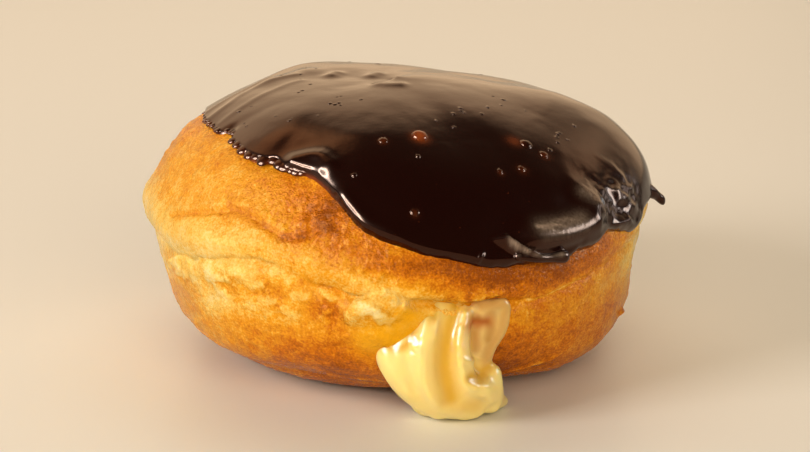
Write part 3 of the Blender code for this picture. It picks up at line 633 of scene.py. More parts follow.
def bun_point(azimuth, along):
    """Points on the bun at an azimuth in degrees and a way along the outline from the base's centre."""
    radius, height = np.interp(along, ALONG, RADIUS), np.interp(along, ALONG, HEIGHT)
    off = swell(azimuth, height)
    radius = radius + off * np.interp(along, ALONG, OUTWARD)
    height = height + off * np.interp(along, ALONG, UPWARD)
    turn = np.radians(azimuth)
    x = radius * np.cos(turn)
    y = radius * np.sin(turn) * (1 - BACK_FLATTENED * np.clip(np.sin(turn), 0, 1))
    raised = np.clip((height - WAIST_Z) / (CROWN_Z - WAIST_Z), 0, 1)
    return np.stack([x, y, np.maximum(height - CROWN_SLOPE * x * raised, 0)], axis=-1)


def bun_normal(azimuth, along):
    """Outward unit normals of the bun."""
    turned = 0.5
    risen = 0.3 * MM
    east = bun_point(azimuth + turned, along) - bun_point(azimuth - turned, along)
    north = bun_point(azimuth, along + risen) - bun_point(azimuth, along - risen)
    normal = np.cross(east, north)
    return normal / np.linalg.norm(normal, axis=-1, keepdims=True)


def cell_key(order, cell):
    """A number for each cell of a lattice, the same for the same cell each time."""
    key = 0
    for step in range(3):
        key = order[(key + cell[..., step]) % LATTICE]
    return key


def lattice_noise(points, size, seed):
    """Smooth noise from about -1 to 1 whose lumps are about 'size' across."""
    draw = np.random.default_rng(seed)
    order = draw.permutation(LATTICE)
    slopes = draw.normal(size=(LATTICE, 3))
    slopes /= np.linalg.norm(slopes, axis=1, keepdims=True)
    place = points / size
    cell = np.floor(place).astype(int)
    inside = place - cell
    fade = inside**3 * (inside * (inside * 6 - 15) + 10)
    total = np.zeros(points.shape[:-1])
    for corner in np.ndindex(2, 2, 2):
        slope = slopes[cell_key(order, cell + corner)]
        weight = np.prod(np.where(corner, fade, 1 - fade), axis=-1)
        total += weight * np.sum(slope * (inside - corner), axis=-1)
    return total * NOISE_STRENGTH


def layered(points, layers):
    """The sum of some noises, each given by its height, size and seed."""
    return sum(height * lattice_noise(points, size, seed) for height, size, seed in layers)


def folded_noise(points, size, seed):
    """Noise with sharp ridges, from 0 to 1."""
    return 1 - np.abs(lattice_noise(points, size, seed)).clip(0, 1)


def sunk_wrinkles(points, size, seed):
    """Sharp ridges, most of whose height lies under the surface."""
    return folded_noise(points, size, seed) - WRINKLES_SUNK


def blisters(points, size, seed):
    """Round domes at random places, from 0 to 1 high, in a share of the cells of a lattice."""
    draw = np.random.default_rng(seed)
    order = draw.permutation(LATTICE)
    place_in_cell = draw.uniform(*DOME_PLACES, (LATTICE, 3))
    width = draw.uniform(*DOME_WIDTHS, LATTICE)
    there = draw.uniform(size=LATTICE) < BLISTER_SHARE
    place = points / size
    cell = np.floor(place).astype(int)
    highest = np.zeros(points.shape[:-1])
    for step in np.ndindex(3, 3, 3):
        at = cell + np.array(step) - 1
        key = cell_key(order, at)
        away = np.linalg.norm(place - at - place_in_cell[key], axis=-1) / width[key]
        highest = np.maximum(highest, np.where(there[key], (1 - away**2).clip(0), 0))
    return highest


def column_azimuths(count):
    """Azimuths of the columns, close together at the front and further apart at the back."""
    even = np.arange(count) * TURN / count
    return even - FRONT_CROWDING * np.degrees(np.sin(np.radians(even - FRONT)))


def closed_rings(name, rings):
    """An object whose skin runs through rings of points, with a point in the middle of each end ring."""
    rows, columns, _ = rings.shape
    points = np.concatenate([rings.reshape(-1, 3), rings[:1].mean(axis=1), rings[-1:].mean(axis=1)])
    index = np.arange(rows * columns).reshape(rows, columns)
    after = np.roll(index, -1, axis=1)
    quads = np.stack([index[:-1], after[:-1], after[1:], index[1:]], axis=-1).reshape(-1, 4)
    low = np.stack([after[0], index[0], np.full(columns, rows * columns)], axis=-1)
    high = np.stack([index[-1], after[-1], np.full(columns, rows * columns + 1)], axis=-1)
    mesh = bpy.data.meshes.new(name)
    mesh.from_pydata(points.tolist(), [], quads.tolist() + low.tolist() + high.tolist())
    return linked(name, mesh)


def linked(name, mesh):
    """A smooth-shaded object with this mesh, in the scene."""
    mesh.shade_smooth()
    made = bpy.data.objects.new(name, mesh)
    bpy.context.scene.collection.objects.link(made)
    return made


def from_bmesh(name, bm):
    """An object with the shape of a bmesh."""
    mesh = bpy.data.meshes.new(name)
    bm.to_mesh(mesh)
    bm.free()
    return linked(name, mesh)


def settle(obj):
    """Replaces an object's mesh with what its modifiers make of it."""
    bpy.context.view_layer.update()
    made = bpy.data.meshes.new_from_object(obj.evaluated_get(bpy.context.evaluated_depsgraph_get()))
    obj.modifiers.clear()
    obj.data = made
    return obj


def joined(obj, other, operation):
    """Joins another object to this one or cuts it away, and then removes the other."""
    modifier = obj.modifiers.new(operation.lower(), "BOOLEAN")
    modifier.operation = operation
    modifier.solver = "MANIFOLD"
    modifier.object = other
    settle(obj)
    bpy.data.objects.remove(other)
    return obj


def vertices_of(obj):
    """The points of an object's mesh."""
    points = np.empty(len(obj.data.vertices) * 3)
    obj.data.vertices.foreach_get("co", points)
    return points.reshape(-1, 3)


def move_vertices(obj, points):
    """Puts new points into an object's mesh."""
    obj.data.vertices.foreach_set("co", points.ravel())
    obj.data.update()


def normals_of(obj):
    """The outward normals at an object's points."""
    normals = np.empty(len(obj.data.vertices) * 3)
    obj.data.vertex_normals.foreach_get("vector", normals)
    return normals.reshape(-1, 3)


def store(obj, name, values):
    """Keeps one number for each point of a mesh, for its material to read."""
    obj.data.attributes.new(name, "FLOAT", "POINT").data.foreach_set("value", values.astype(np.float32))


def ropes_mesh(ropes):
    """Overlapping balls along each rope, a curve through points of x, y, z and radius in mm."""
    bm = bmesh.new()
    for rope in ropes:
        points = np.array(rope) * MM
        places = ways_along(points[:, :3])
        count = ceil(places[-1] / (BALL_STEP * points[:, 3].min())) + 1
        for x, y, z, radius in curve_through(np.linspace(0, places[-1], count), places, points):
            at = Matrix.Translation((x, y, z))
            bmesh.ops.create_icosphere(bm, subdivisions=3, radius=radius, matrix=at)
    return bm


def melt(obj, voxel, smoothing):
    """Makes one smooth skin of an object's overlapping balls."""
    remesh = obj.modifiers.new("one_skin", "REMESH")
    remesh.mode = "VOXEL"
    remesh.voxel_size = voxel
    remesh.use_smooth_shade = True
    smooth = obj.modifiers.new("flow", "SMOOTH")
    smooth.factor = 0.5
    smooth.iterations = smoothing
    return settle(obj)


def melted_ropes(name, ropes):
    """Thin ropes with one fine skin."""
    return melt(from_bmesh(name, ropes_mesh(ropes)), DRIP_VOXEL, DRIP_SMOOTHING)


def custard_shape():
    """The pocket, the neck and the tongue of custard."""
    bm = ropes_mesh(CUSTARD_ROPES.values())
    at = Matrix.Translation(POCKET_CENTRE) @ Matrix.Diagonal((*POCKET_RADII, 1))
    bmesh.ops.create_icosphere(bm, subdivisions=5, radius=1, matrix=at)
    return melt(from_bmesh("custard_flow", bm), CUSTARD_VOXEL, CUSTARD_SMOOTHING)


def near_front(points, line, width):
    """1 on a line drawn on the custard's front by x and z in mm, falling smoothly to 0 away from it."""
    places = np.array(line) * MM
    steps = np.linspace(0, len(line) - 1, STROKE_STEPS * len(line))
    smooth = curve_through(steps, np.arange(len(line)), places)
    return near_track(points[:, [0, 2]], smooth, width * MM)


def thin_out_inside(obj):
    """Leaves fewer, larger faces on the part of the custard that lies inside the bun."""
    inside = np.flatnonzero(vertices_of(obj)[:, 1] > INSIDE_FROM)
    obj.vertex_groups.new(name="inside").add(inside.tolist(), 1.0, "REPLACE")
    fewer = obj.modifiers.new("fewer_faces", "DECIMATE")
    fewer.vertex_group = "inside"
    fewer.ratio = FACES_KEPT
    settle(obj)
    obj.vertex_groups.clear()
    return obj


def make_custard():
    """The custard, standing flat on the floor where its foot has spread."""
    custard = custard_shape()
    bm = bmesh.new()
    bmesh.ops.create_cube(bm, size=FLOOR_SIZE, matrix=Matrix.Translation((0, 0, -FLOOR_SIZE / 2)))
    joined(custard, from_bmesh("floor_cutter", bm), "DIFFERENCE")
    points = vertices_of(custard)
    relief = layered(points, CUSTARD_LUMPS)
    for line, width, amount in CUSTARD_LINES:
        relief += amount * MM * near_front(points, line, width)
    curds = layered(points, CURDS)
    for line, width in CURDLED_LINES:
        relief += curds * near_front(points, line, width)
    relief *= rise(points[:, 2], *RELIEF_UP) * rise(points[:, 1], *RELIEF_FORWARD)
    points = points + relief[:, None] * normals_of(custard)
    points[:, 2] = points[:, 2].clip(0)
    move_vertices(custard, points)
    points = vertices_of(thin_out_inside(custard))
    for name, lines in (("deeper_shade", SHADED_HOLLOW_LINES), ("film", FILM_LINES), ("seen_through", SEEN_THROUGH_LINES)):
        strokes = [amount * near_front(points, line, width) for line, width, amount in lines]
        store(custard, name, np.max(strokes, axis=0))
    return custard


def glaze_edge_at(azimuth):
    """How far along the bun's outline the glaze ends."""
    return np.interp(line_height(GLAZE_EDGE, azimuth), HEIGHT, ALONG)


def glaze_thickness(azimuth, from_edge):
    """The glaze's thickness: a round rim, thinner there, and a coat that is thicker on one side."""
    rounder = bell(apart(azimuth, ROUNDER_RIM_AT), ROUNDER_RIM_SPREAD)
    into_rim = np.clip(from_edge / (RIM_WIDTH * (1 + ROUNDER_RIM_GROWTH * rounder)), 0, 1)
    rim = np.sqrt(1 - (1 - into_rim) ** 2)
    side = 1 + THICKNESS_CHANGE * np.cos(np.radians(azimuth - THICKEST_AT))
    thinned = hill(azimuth, from_edge, THIN_EDGE_AT, 0, THIN_EDGE_SPREAD, THIN_EDGE_WIDTH)
    coat = GLAZE_THICKNESS - RIM_THINNER * (1 - rounder) * bell(from_edge, THINNER_WIDTH)
    return rim * side * coat * (1 - THIN_EDGE_LOSS * thinned)


def tent(azimuth, along):
    """How far the tent of stretched skin stands off the glaze."""
    ridge = np.array(sorted(TENT_RIDGE, key=lambda point: point[1]))
    aside = apart(azimuth, np.interp(along, ridge[:, 1], ridge[:, 0])) * pi / 180 * BUN_RADIUS
    left = (1 + aside / TENT_LEFT).clip(0, 1)
    right = rise(aside, TENT_RIGHT, 0)
    below_peak = rise(along - ridge[-1, 1], *TENT_PEAK_FADE)
    above_foot = rise(along - ridge[0, 1], *TENT_FOOT_FADE)
    return TENT_HEIGHT * np.where(aside < 0, left, right) * below_peak * above_foot


def near_line(points, line, width, lift=0):
    """1 on a line of azimuths and ways along the bun, falling smoothly to 0 away from it."""
    pairs = np.array(line, float)
    steps = ways_along(bun_point(pairs[:, 0], pairs[:, 1]))
    smooth = curve_through(np.linspace(0, steps[-1], ceil(steps[-1] / LINE_STEP) + 1), steps, pairs)
    azimuth, along = smooth[:, 0], smooth[:, 1]
    return near_track(points, bun_point(azimuth, along) + lift * bun_normal(azimuth, along), width)


def near_track(points, track, width):
    """1 on a chain of straight pieces, falling smoothly to 0 away from it."""
    away = np.full(len(points), np.inf)
    for start, end in zip(track[:-1], track[1:]):
        run = end - start
        share = ((points - start) @ run / max(run @ run, TINY)).clip(0, 1)
        away = np.minimum(away, ((points - start - share[:, None] * run) ** 2).sum(axis=1))
    return np.exp(-away / width**2)


def at_heights(line):
    """A line given by azimuth and height, as azimuth and way along the bun's outline."""
    return [(azimuth, np.interp(height, HEIGHT, ALONG)) for azimuth, height in line]


def torn_here(azimuth, height):
    """How torn the crust is, from 0 to 1."""
    return np.max([hill(azimuth, height, *patch) for patch in TORN_PATCHES], axis=0)


def flakes(points):
    """Flat ragged flakes, from 0 in the gaps to 1 on top."""
    broad, fine = FLAKE_NOISES
    ragged = layered(points * (1, 1, FLAKE_FLATNESS), [broad]) + layered(points, [fine])
    return rise(ragged, *FLAKE_EDGE)


def crust_relief(points, azimuth):
    """How far the fried surface stands off the bun: lumps, creases, wrinkles, blisters and torn edges."""
    height = points[:, 2]
    over = height - line_height(CREASE_LINE, azimuth) + layered(points, CREASE_WAVES)
    open_here = crease_open(azimuth)
    fried = np.maximum(rise(over, *FRIED_ABOVE), rise(over, *FRIED_BELOW))
    wrinkled = near_line(points, WRINKLED_PATCH, WRINKLED_WIDTH)
    upright = np.stack([azimuth * UPRIGHT_TURN, height * UPRIGHT_HEIGHT, 0 * height], axis=-1)

    def fine_layer(noise, place, pale, frying, wrinkling, size, seed):
        """A noise whose height depends on how fried and wrinkled the crust is."""
        return (pale + frying * fried + wrinkling * wrinkled) * noise(place, size, seed)

    relief = layered(points, CRUST_LUMPS)
    relief += fine_layer(lattice_noise, points, *GRAIN)
    relief += fine_layer(folded_noise, upright, *PALE_CREASES)
    relief += fine_layer(sunk_wrinkles, points, *WRINKLES)
    relief += fine_layer(blisters, points, *BLISTERS)
    relief += torn_here(azimuth, height) * (FLAKE_HEIGHT * flakes(points) - FLAKE_GAP)
    relief += LIP_HEIGHT * open_here * rise(over, *LIP_EDGE) * np.exp(-over.clip(0) / LIP_WIDTH)
    for move, level, width in (LEDGE, SLIT):
        relief += move * open_here * bell(over - level, width)
    for line, width, amount in CRUST_LINES:
        relief += amount * near_line(points, at_heights(line), width)
    return relief


def shrunk_copy(obj, name, inset):
    """A copy of an object with its skin moved inwards."""
    copy = linked(name, obj.data.copy())
    move_vertices(copy, vertices_of(obj) - inset * normals_of(obj))
    return copy


def make_bun(custard):
    """The fried bun, with the pocket and the torn mouth that the custard fills."""
    azimuth = column_azimuths(CRUST_COLUMNS)
    last_seen = glaze_edge_at(azimuth) + CRUST_PAST_EDGE
    seen = BASE_AT + np.linspace(0, 1, CRUST_ROWS)[:, None] * (last_seen - BASE_AT)
    hidden = last_seen + np.linspace(0, 1, HIDDEN_ROWS + 1)[1:, None] * (CROWN_AT - last_seen)
    along = np.concatenate([seen, hidden])
    around = np.broadcast_to(azimuth, along.shape)
    rings = bun_point(around, along)
    normals = bun_normal(around, along)
    flat, turned = rings.reshape(-1, 3), around.ravel()
    relief = crust_relief(flat, turned) * rise(flat[:, 2], *CRUST_RELIEF_FADE)
    flat = flat + relief[:, None] * normals.reshape(-1, 3)
    flat[:, 2] = flat[:, 2].clip(0)
    bun = closed_rings("fried_bun", flat.reshape(rings.shape))
    joined(bun, shrunk_copy(custard, "custard_room", CUSTARD_SUNK), "DIFFERENCE")
    joined(bun, melted_ropes("mouth_openings", MOUTH_OPENINGS), "DIFFERENCE")
    colour_crust(bun)
    return bun


def azimuths_of(points):
    """The azimuth of each point."""
    return np.degrees(np.arctan2(points[:, 1], points[:, 0]))


def colour_crust(bun):
    """Marks where the crust is toasted, with painted shade under the glaze's front rim, and where custard has
    soaked it.
    """
    points = vertices_of(bun)
    azimuth, height = azimuths_of(points), points[:, 2]
    toast_and_shade = np.interp(height + layered(points, TOAST_WAVES), *np.array(TOAST_BY_HEIGHT).T)
    for *place, amount in TOASTED_AND_SHADED_SPOTS:
        toast_and_shade += amount * hill(azimuth, height, *place)
    for line, width, amount in TOASTED_LINES:
        toast_and_shade += amount * near_line(points, at_heights(line), width)
    toast_and_shade += layered(points, TOAST_CLOUDS)
    toast_and_shade += torn_here(azimuth, height) * (GAP_TOAST - FLAKE_PALENESS * flakes(points))
    soaked = near_line(points, at_heights(SOAKED_LINE), SOAKED_WIDTH) * (1 + layered(points, SOAKED_CLOUDS))
    store(bun, "toast_and_shade", toast_and_shade.clip(0, 1))
    store(bun, "soaked", soaked.clip(0, 1))


def on_bun(azimuth, along):
    """A place on the bun and the outward normal there."""
    return Vector(bun_point(azimuth, along)), Vector(bun_normal(azimuth, along))


def add_dome(bm, place, normal, radii, subdivisions=2):
    """A ball with these three radii, the third along the normal."""
    lie = normal.to_track_quat("Z", "Y").to_matrix().to_4x4()
    at = Matrix.Translation(place) @ lie @ Matrix.Diagonal((*radii, 1))
    bmesh.ops.create_icosphere(bm, subdivisions=subdivisions, radius=1, matrix=at)


def edge_beads():
    """Round beads along the glaze's left edge, small at the back and larger towards the front."""
    draw = np.random.default_rng(BEAD_SEED)
    bm = bmesh.new()
    azimuth = BEADED_FROM
    while azimuth < BEADED_TO:
        larger = np.interp(azimuth, *BEAD_GROWTH) * draw.uniform(*BEAD_SHARES)
        radius = np.interp(larger, (0, 1), BEAD_SIZES)
        along = glaze_edge_at(azimuth) + draw.uniform(*BEADS_PAST_EDGE)
        squash = draw.uniform(*BEAD_WIDTHS), draw.uniform(*BEAD_LENGTHS), BEAD_FLATNESS
        place, normal = on_bun(azimuth, along)
        add_dome(bm, place + normal * BEAD_LIFT, normal, [radius * share for share in squash])
        azimuth += draw.uniform(*BEAD_GAPS)
    return from_bmesh("edge_beads", bm)


def make_glaze():
    """The glaze: a coat that follows the bun with its lobes and folds, its drips and its bubbles."""
    azimuth = column_azimuths(GLAZE_COLUMNS)
    plain_edge = glaze_edge_at(azimuth)
    rim = bun_point(azimuth, plain_edge)
    edge = plain_edge - layered(rim, EDGE_WAVES)
    under = np.linspace(1, 0, GLAZE_UNDER_ROWS)[:, None]
    over = (np.linspace(0, 1, GLAZE_OVER_ROWS + 1)[1:] ** OVER_CROWDING)[:, None]
    along = edge + np.concatenate([under, over]) * (CROWN_AT - edge)
    around = np.broadcast_to(azimuth, along.shape)
    from_edge = along - edge
    from_edge = from_edge + (edge - plain_edge) * rise(from_edge, *EDGE_WAVES_FADE)
    base, normals = bun_point(around, along), bun_normal(around, along)
    flat = base.reshape(-1, 3)
    relief = layered(flat, GLAZE_RIPPLES)
    relief += near_line(flat, CRUMPLED_PATCH, CRUMPLED_WIDTH) * layered(flat, CRUMPLES)
    for line, width, amount in GLAZE_LINES:
        relief += amount * near_line(flat, line, width)
    relief = relief.reshape(along.shape) + tent(around, along)
    outward = glaze_thickness(around, from_edge) + relief * rise(from_edge, *GLAZE_RELIEF_FADE)
    outward += (GLAZE_GAP + GLAZE_SUNK) * rise(from_edge, *GLAZE_LIFT_FADE) - GLAZE_SUNK
    outward[: len(under)] = -GLAZE_SUNK
    glaze = closed_rings("glaze_coat", base + outward[..., None] * normals)
    joined(glaze, melted_ropes("glaze_drips", GLAZE_DRIPS), "UNION")
    joined(glaze, make_bubbles(glaze), "UNION")
    joined(glaze, edge_beads(), "UNION")
    mark_glaze(glaze, bun_point(azimuth, edge))
    return glaze


def mark_glaze(glaze, rim):
    """Marks where the glaze is thin enough to look reddish, and its dull, crinkled skin with a painted
    highlight.
    """
    points = vertices_of(glaze)
    from_red = np.abs(apart(azimuths_of(points), RED_RIM_AT))
    thin = RED_RIM * near_track(points, rim, RED_RIM_WIDTH) * rise(from_red, *RED_RIM_REACH)
    for azimuth, along, size, amount in THIN_SPOTS:
        stroke = (azimuth, along), (azimuth, along + SPOT_STROKE * size)
        thin += amount * near_line(points, stroke, size, THIN_SPOT_LIFT)
    dull_and_highlight = [amount * near_line(points, line, width, DULL_SKIN_AND_HIGHLIGHT_LIFT) for line, width, amount in DULL_SKIN_AND_HIGHLIGHT_LINES]
    store(glaze, "thin", thin.clip(0, 1))
    store(glaze, "dull_and_highlight", np.max(dull_and_highlight, axis=0))


def make_bubbles(glaze):
    """Low domes where bubbles have risen through the glaze."""
    draw = np.random.default_rng(BUBBLE_SEED)
    domes = list(BUBBLES)
    azimuth_spread, along_spread = CLUSTER_SPREAD
    for azimuth, along, count in BUBBLE_CLUSTERS:
        for _ in range(count):
            place = azimuth + draw.normal(0, azimuth_spread), along + draw.normal(0, along_spread)
            domes.append((*place, draw.uniform(*SMALL_BUBBLES), SMALL_BUBBLE_RISE))
    faces = [list(face.vertices) for face in glaze.data.polygons]
    tree = BVHTree.FromPolygons(vertices_of(glaze).tolist(), faces)
    bm = bmesh.new()
    for azimuth, along, radius, rounded in domes:
        place, normal = on_bun(azimuth, along)
        hit = tree.ray_cast(place + normal * LOOK_FROM * MM, -normal)[0]
        if hit is not None:
            finer = radius > LARGE_BUBBLE
            add_dome(bm, hit, normal, (radius, radius, radius * rounded), 2 + finer)
    return from_bmesh("bubbles", bm)


def add_node(tree, kind, inputs=(), **settings):
    """A new shader node, whose inputs take plain values or other nodes' outputs."""
    made = tree.nodes.new(kind)
    for key, value in settings.items():
        setattr(made, key, value)
    for key, value in dict(inputs).items():
        if isinstance(value, bpy.types.NodeSocket):
            tree.links.new(value, made.inputs[key])
        else:
            made.inputs[key].default_value = value
    return made


def new_material(name, colour, **inputs):
    """A Principled surface with these plain inputs, and its node tree and shader."""
    made = bpy.data.materials.new(name)
    made.use_nodes = True
    shader = made.node_tree.nodes["Principled BSDF"]
    shader.inputs["Base Color"].default_value = (*colour, 1)
    for key, value in inputs.items():
        shader.inputs[key.replace("_", " ")].default_value = value
    return made, made.node_tree, shader


def object_noise(tree, scale, detail=3.0, stretch=(1, 1, 1)):
    """Noise fixed to the object, with about 'scale' lumps in a metre, or fewer where it is stretched."""
    place = add_node(tree, "ShaderNodeTexCoord").outputs["Object"]
    place = add_node(tree, "ShaderNodeMapping", {"Vector": place, "Scale": stretch}).outputs[0]
    sockets = {"Vector": place, "Scale": scale, "Detail": detail}
    return add_node(tree, "ShaderNodeTexNoise", sockets).outputs[0]


def scaled(tree, value, factor, offset):
    """value * factor + offset."""
    sockets = {0: value, 1: factor, 2: offset}
    return add_node(tree, "ShaderNodeMath", sockets, operation="MULTIPLY_ADD").outputs[0]


def combined(tree, operation, first, second, clamp=False):
    """Two numbers combined by a maths node."""
    sockets = {0: first, 1: second}
    return add_node(tree, "ShaderNodeMath", sockets, operation=operation, use_clamp=clamp).outputs[0]


def mark(tree, name):
    """A number stored at each point of the mesh."""
    return add_node(tree, "ShaderNodeAttribute", attribute_name=name).outputs["Fac"]


def ramp(tree, value, stops):
    """A colour ramp through pairs of position and colour."""
    made = add_node(tree, "ShaderNodeValToRGB", {0: value})
    bands = made.color_ramp.elements
    while len(bands) < len(stops):
        bands.new(0.5)
    for band, (position, colour) in zip(bands, stops):
        band.position = position
        band.color = (*colour, 1)
    return made.outputs["Color"]


def blended(tree, factor, low, high):
    """A mix of two colours, which are plain or come from other nodes."""
    made = add_node(tree, "ShaderNodeMix", {0: factor}, data_type="RGBA")
    for slot, colour in ((6, low), (7, high)):
        if isinstance(colour, bpy.types.NodeSocket):
            tree.links.new(colour, made.inputs[slot])
        else:
            made.inputs[slot].default_value = (*colour, 1)
    return made.outputs[2]


def roughen(tree, shader, layers):
    """Stacks fine bumps, each a pattern or a noise's scale, with its height in metres."""
    normal = None
    for pattern, distance in layers:
        height = pattern if isinstance(pattern, bpy.types.NodeSocket) else object_noise(tree, pattern)
        sockets = {"Height": height, "Distance": distance, "Strength": 1.0}
        if normal:
            sockets["Normal"] = normal
        normal = add_node(tree, "ShaderNodeBump", sockets).outputs["Normal"]
    tree.links.new(normal, shader.inputs["Normal"])


def crust_material():
    """Fried dough, pale through golden to deep brown, grainy and a little oily, with painted shade under the
    glaze.
    """
    made, tree, shader = new_material(
        "fried_dough",
        FRIED_COLOUR,
        Roughness=0.23,
        Specular_IOR_Level=0.24,
        Specular_Tint=(*CRUST_SHEEN, 1),
        Subsurface_Weight=0.08,
        Subsurface_Radius=(1.0, 0.45, 0.15),
        Subsurface_Scale=2.0 * MM,
    )
    total = mark(tree, "toast_and_shade")
    for scale, contrast in CRUST_SPECKLES:
        spots = scaled(tree, object_noise(tree, scale), contrast, -contrast / 2)
        total = combined(tree, "ADD", total, spots)
    colour = blended(tree, mark(tree, "soaked"), ramp(tree, total, CRUST_COLOURS), SOAKED_COLOUR)
    tree.links.new(colour, shader.inputs["Base Color"])
    roughen(tree, shader, CRUST_BUMPS)
    return made


def glaze_material():
    """Dark glossy chocolate glaze, reddish where it is thin, with a painted highlight on its dull skin."""
    sheen = (*GLAZE_SHEEN, 1)
    made, tree, shader = new_material("chocolate", GLAZE_COLOUR, Roughness=0.13, Specular_Tint=sheen)
    streaks = object_noise(tree, STREAK_SCALE, stretch=STREAK_STRETCH)
    streaks = scaled(tree, streaks, *STREAK_CONTRAST)
    crinkles_and_highlight = combined(tree, "MULTIPLY", mark(tree, "dull_and_highlight"), streaks, clamp=True)
    place = add_node(tree, "ShaderNodeTexCoord").outputs["Object"]
    sockets = {"Vector": place, "Scale": SPECK_CELLS}
    cells = add_node(tree, "ShaderNodeTexVoronoi", sockets).outputs["Distance"]
    specks = scaled(tree, cells, *SPECK_SIZE)
    few = scaled(tree, object_noise(tree, SPECK_CLOUDS, detail=0.0), *SPECK_SHARE)
    specks = scaled(tree, combined(tree, "MINIMUM", specks, few, clamp=True), SPECK_STRENGTH, 0.0)
    reddish = combined(tree, "MAXIMUM", mark(tree, "thin"), specks, clamp=True)
    colour = blended(tree, reddish, GLAZE_COLOUR, THIN_GLAZE_COLOUR)
    # The dull patches' streaks paint a highlight into the colour.
    colour = blended(tree, crinkles_and_highlight, colour, DULL_SKIN_AND_HIGHLIGHT_COLOUR)
    tree.links.new(colour, shader.inputs["Base Color"])
    tree.links.new(scaled(tree, mark(tree, "dull_and_highlight"), *GLAZE_ROUGHNESS), shader.inputs["Roughness"])
    roughen(tree, shader, (*GLAZE_BUMPS, (crinkles_and_highlight, CRINKLE_HEIGHT)))
    return made


def custard_material():
    """Smooth pale custard that light passes into, with painted shade of deeper yellow in its hollows."""
    made, tree, shader = new_material(
        "custard",
        CUSTARD_COLOUR,
        Roughness=0.30,
        Specular_IOR_Level=0.34,
        Subsurface_Weight=0.4,
        Subsurface_Radius=(1.0, 0.7, 0.22),
        Subsurface_Scale=2.0 * MM,
    )
    colour = CUSTARD_COLOUR
    for name, over in CUSTARD_MARKS.items():
        colour = blended(tree, mark(tree, name), colour, over)
    tree.links.new(colour, shader.inputs["Base Color"])
    roughen(tree, shader, CUSTARD_BUMPS)
    return made


def look_at(obj, target):
    """Turns a camera or a light towards a point."""
    obj.rotation_mode = "QUATERNION"
    obj.rotation_quaternion = (Vector(target) - obj.location).to_track_quat("-Z", "Y")


def add_camera():
    """The camera at the photograph's viewing angle."""
    camera = bpy.data.objects.new("camera", bpy.data.cameras.new("camera"))
    bpy.context.scene.collection.objects.link(camera)
    camera.data.lens = LENS
    camera.data.sensor_width = SENSOR
    back = Vector((0, -cos(CAMERA_ELEVATION), sin(CAMERA_ELEVATION)))
    camera.location = CAMERA_TARGET + CAMERA_DISTANCE * back
    look_at(camera, CAMERA_TARGET)
    bpy.context.scene.camera = camera


def add_area_light(name, place, width, height, watts, colour):
    """A soft rectangular light aimed at the doughnut."""
    light = bpy.data.lights.new(name, "AREA")
    light.shape = "RECTANGLE"
    light.size, light.size_y = width, height
    light.energy = watts
    light.color = colour
    obj = bpy.data.objects.new(name, light)
    bpy.context.scene.collection.objects.link(obj)
    obj.location = place
    look_at(obj, LIGHTS_TARGET)
    return obj


def soften_edges(light, side, top, bottom):
    """Lets a softbox fade out towards its edges, over these shares of its width and height."""
    light.use_nodes = True
    tree = light.node_tree
    place = add_node(tree, "ShaderNodeNewGeometry").outputs["Parametric"]
    parts = add_node(tree, "ShaderNodeSeparateXYZ", {0: place})
    strength = 1.0
    for axis, start, end in (("X", 0, side), ("X", 1, 1 - side), ("Y", 0, bottom), ("Y", 1, 1 - top)):
        sockets = {"Value": parts.outputs[axis], "From Min": start, "From Max": end}
        fade = add_node(tree, "ShaderNodeMapRange", sockets, interpolation_type="SMOOTHSTEP").outputs[0]
        strength = combined(tree, "MULTIPLY", strength, fade)
    tree.links.new(strength, tree.nodes["Emission"].inputs["Strength"])


def in_direction(azimuth, elevation, distance):
    """A place seen from the doughnut in this direction, in degrees, at this distance."""
    level = distance * cos(radians(elevation))
    return level * cos(radians(azimuth)), level * sin(radians(azimuth)), distance * sin(radians(elevation))


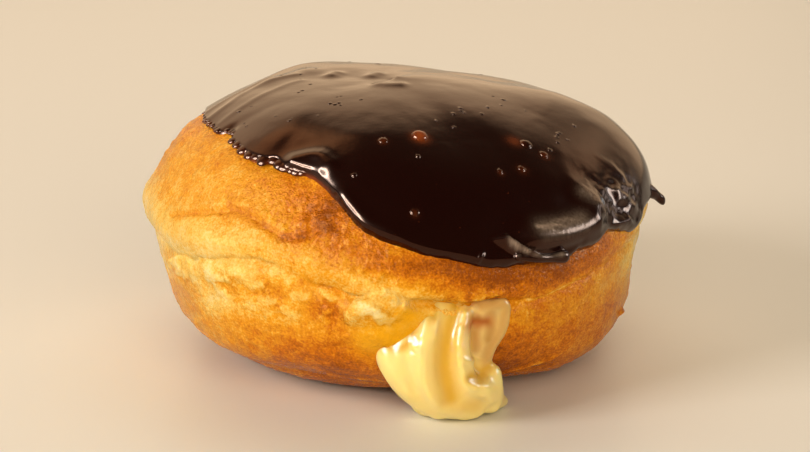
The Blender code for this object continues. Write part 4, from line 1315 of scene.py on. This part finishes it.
def add_stage():
    """A plain pale floor."""
    bm = bmesh.new()
    bmesh.ops.create_grid(bm, x_segments=1, y_segments=1, size=STAGE_REACH)
    stage = from_bmesh("stage", bm)
    surface = new_material("pale_floor", STAGE_COLOUR, Roughness=0.35, Specular_IOR_Level=0.12)[0]
    stage.data.materials.append(surface)


def add_reflector(name, place, width, height, radiance, colour, fades, receivers):
    """A light that only shows as a reflection, on the pieces in 'receivers' or else on everything."""
    obj = add_area_light(name, place, width, height, radiance * pi * width * height, colour)
    obj.visible_diffuse = False
    obj.visible_camera = False
    soften_edges(obj.data, *fades)
    if receivers:
        obj.light_linking.receiver_collection = bpy.data.collections[receivers]


def light_scene(pieces):
    """Warm soft studio light from the left, and cool glints. The key and the fills show in no reflection.

    The glints and most softboxes reach the doughnut alone, so that the floor has no glare from any side.
    """
    doughnut, glazed, plain = (bpy.data.collections.new(name) for name in ("doughnut", "glazed", "plain"))
    for piece in pieces:
        doughnut.objects.link(piece)
        (glazed if piece.name == "glaze_coat" else plain).objects.link(piece)
    add_area_light("key", *KEY, WARM).visible_glossy = False
    for name, (size, radiance, receivers) in GLINTS.items():
        add_reflector(name, KEY_PLACE, size, size, radiance, COOL, GLINT_FADES, receivers)
    for name, (azimuth, elevation, *softbox) in SOFTBOXES.items():
        add_reflector(name, in_direction(azimuth, elevation, SOFTBOX_DISTANCE), *softbox)
    for name, fill in FILLS.items():
        add_area_light(name, *fill, WARMER).visible_glossy = False
    world = bpy.data.worlds.new("studio")
    world.use_nodes = True
    background = world.node_tree.nodes["Background"]
    background.inputs["Color"].default_value = (*WARMER, 1)
    background.inputs["Strength"].default_value = AMBIENT
    bpy.context.scene.world = world
    bpy.context.scene.view_settings.view_transform = "Standard"


def dress():
    """Makes every visible piece of the doughnut."""
    pieces = []
    custard = make_custard()
    for made, node, slot, surface in (
        (make_bun(custard), "dough", "fried_dough", crust_material()),
        (make_glaze(), "chocolate_glaze", "chocolate", glaze_material()),
        (custard, "custard", "custard", custard_material()),
    ):
        made.data.materials.clear()
        made.data.materials.append(surface)
        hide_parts(node)
        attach(made, "root")
        pieces.append(made)
    return pieces


doughnut_pieces = dress()
add_stage()
add_camera()
light_scene(doughnut_pieces)
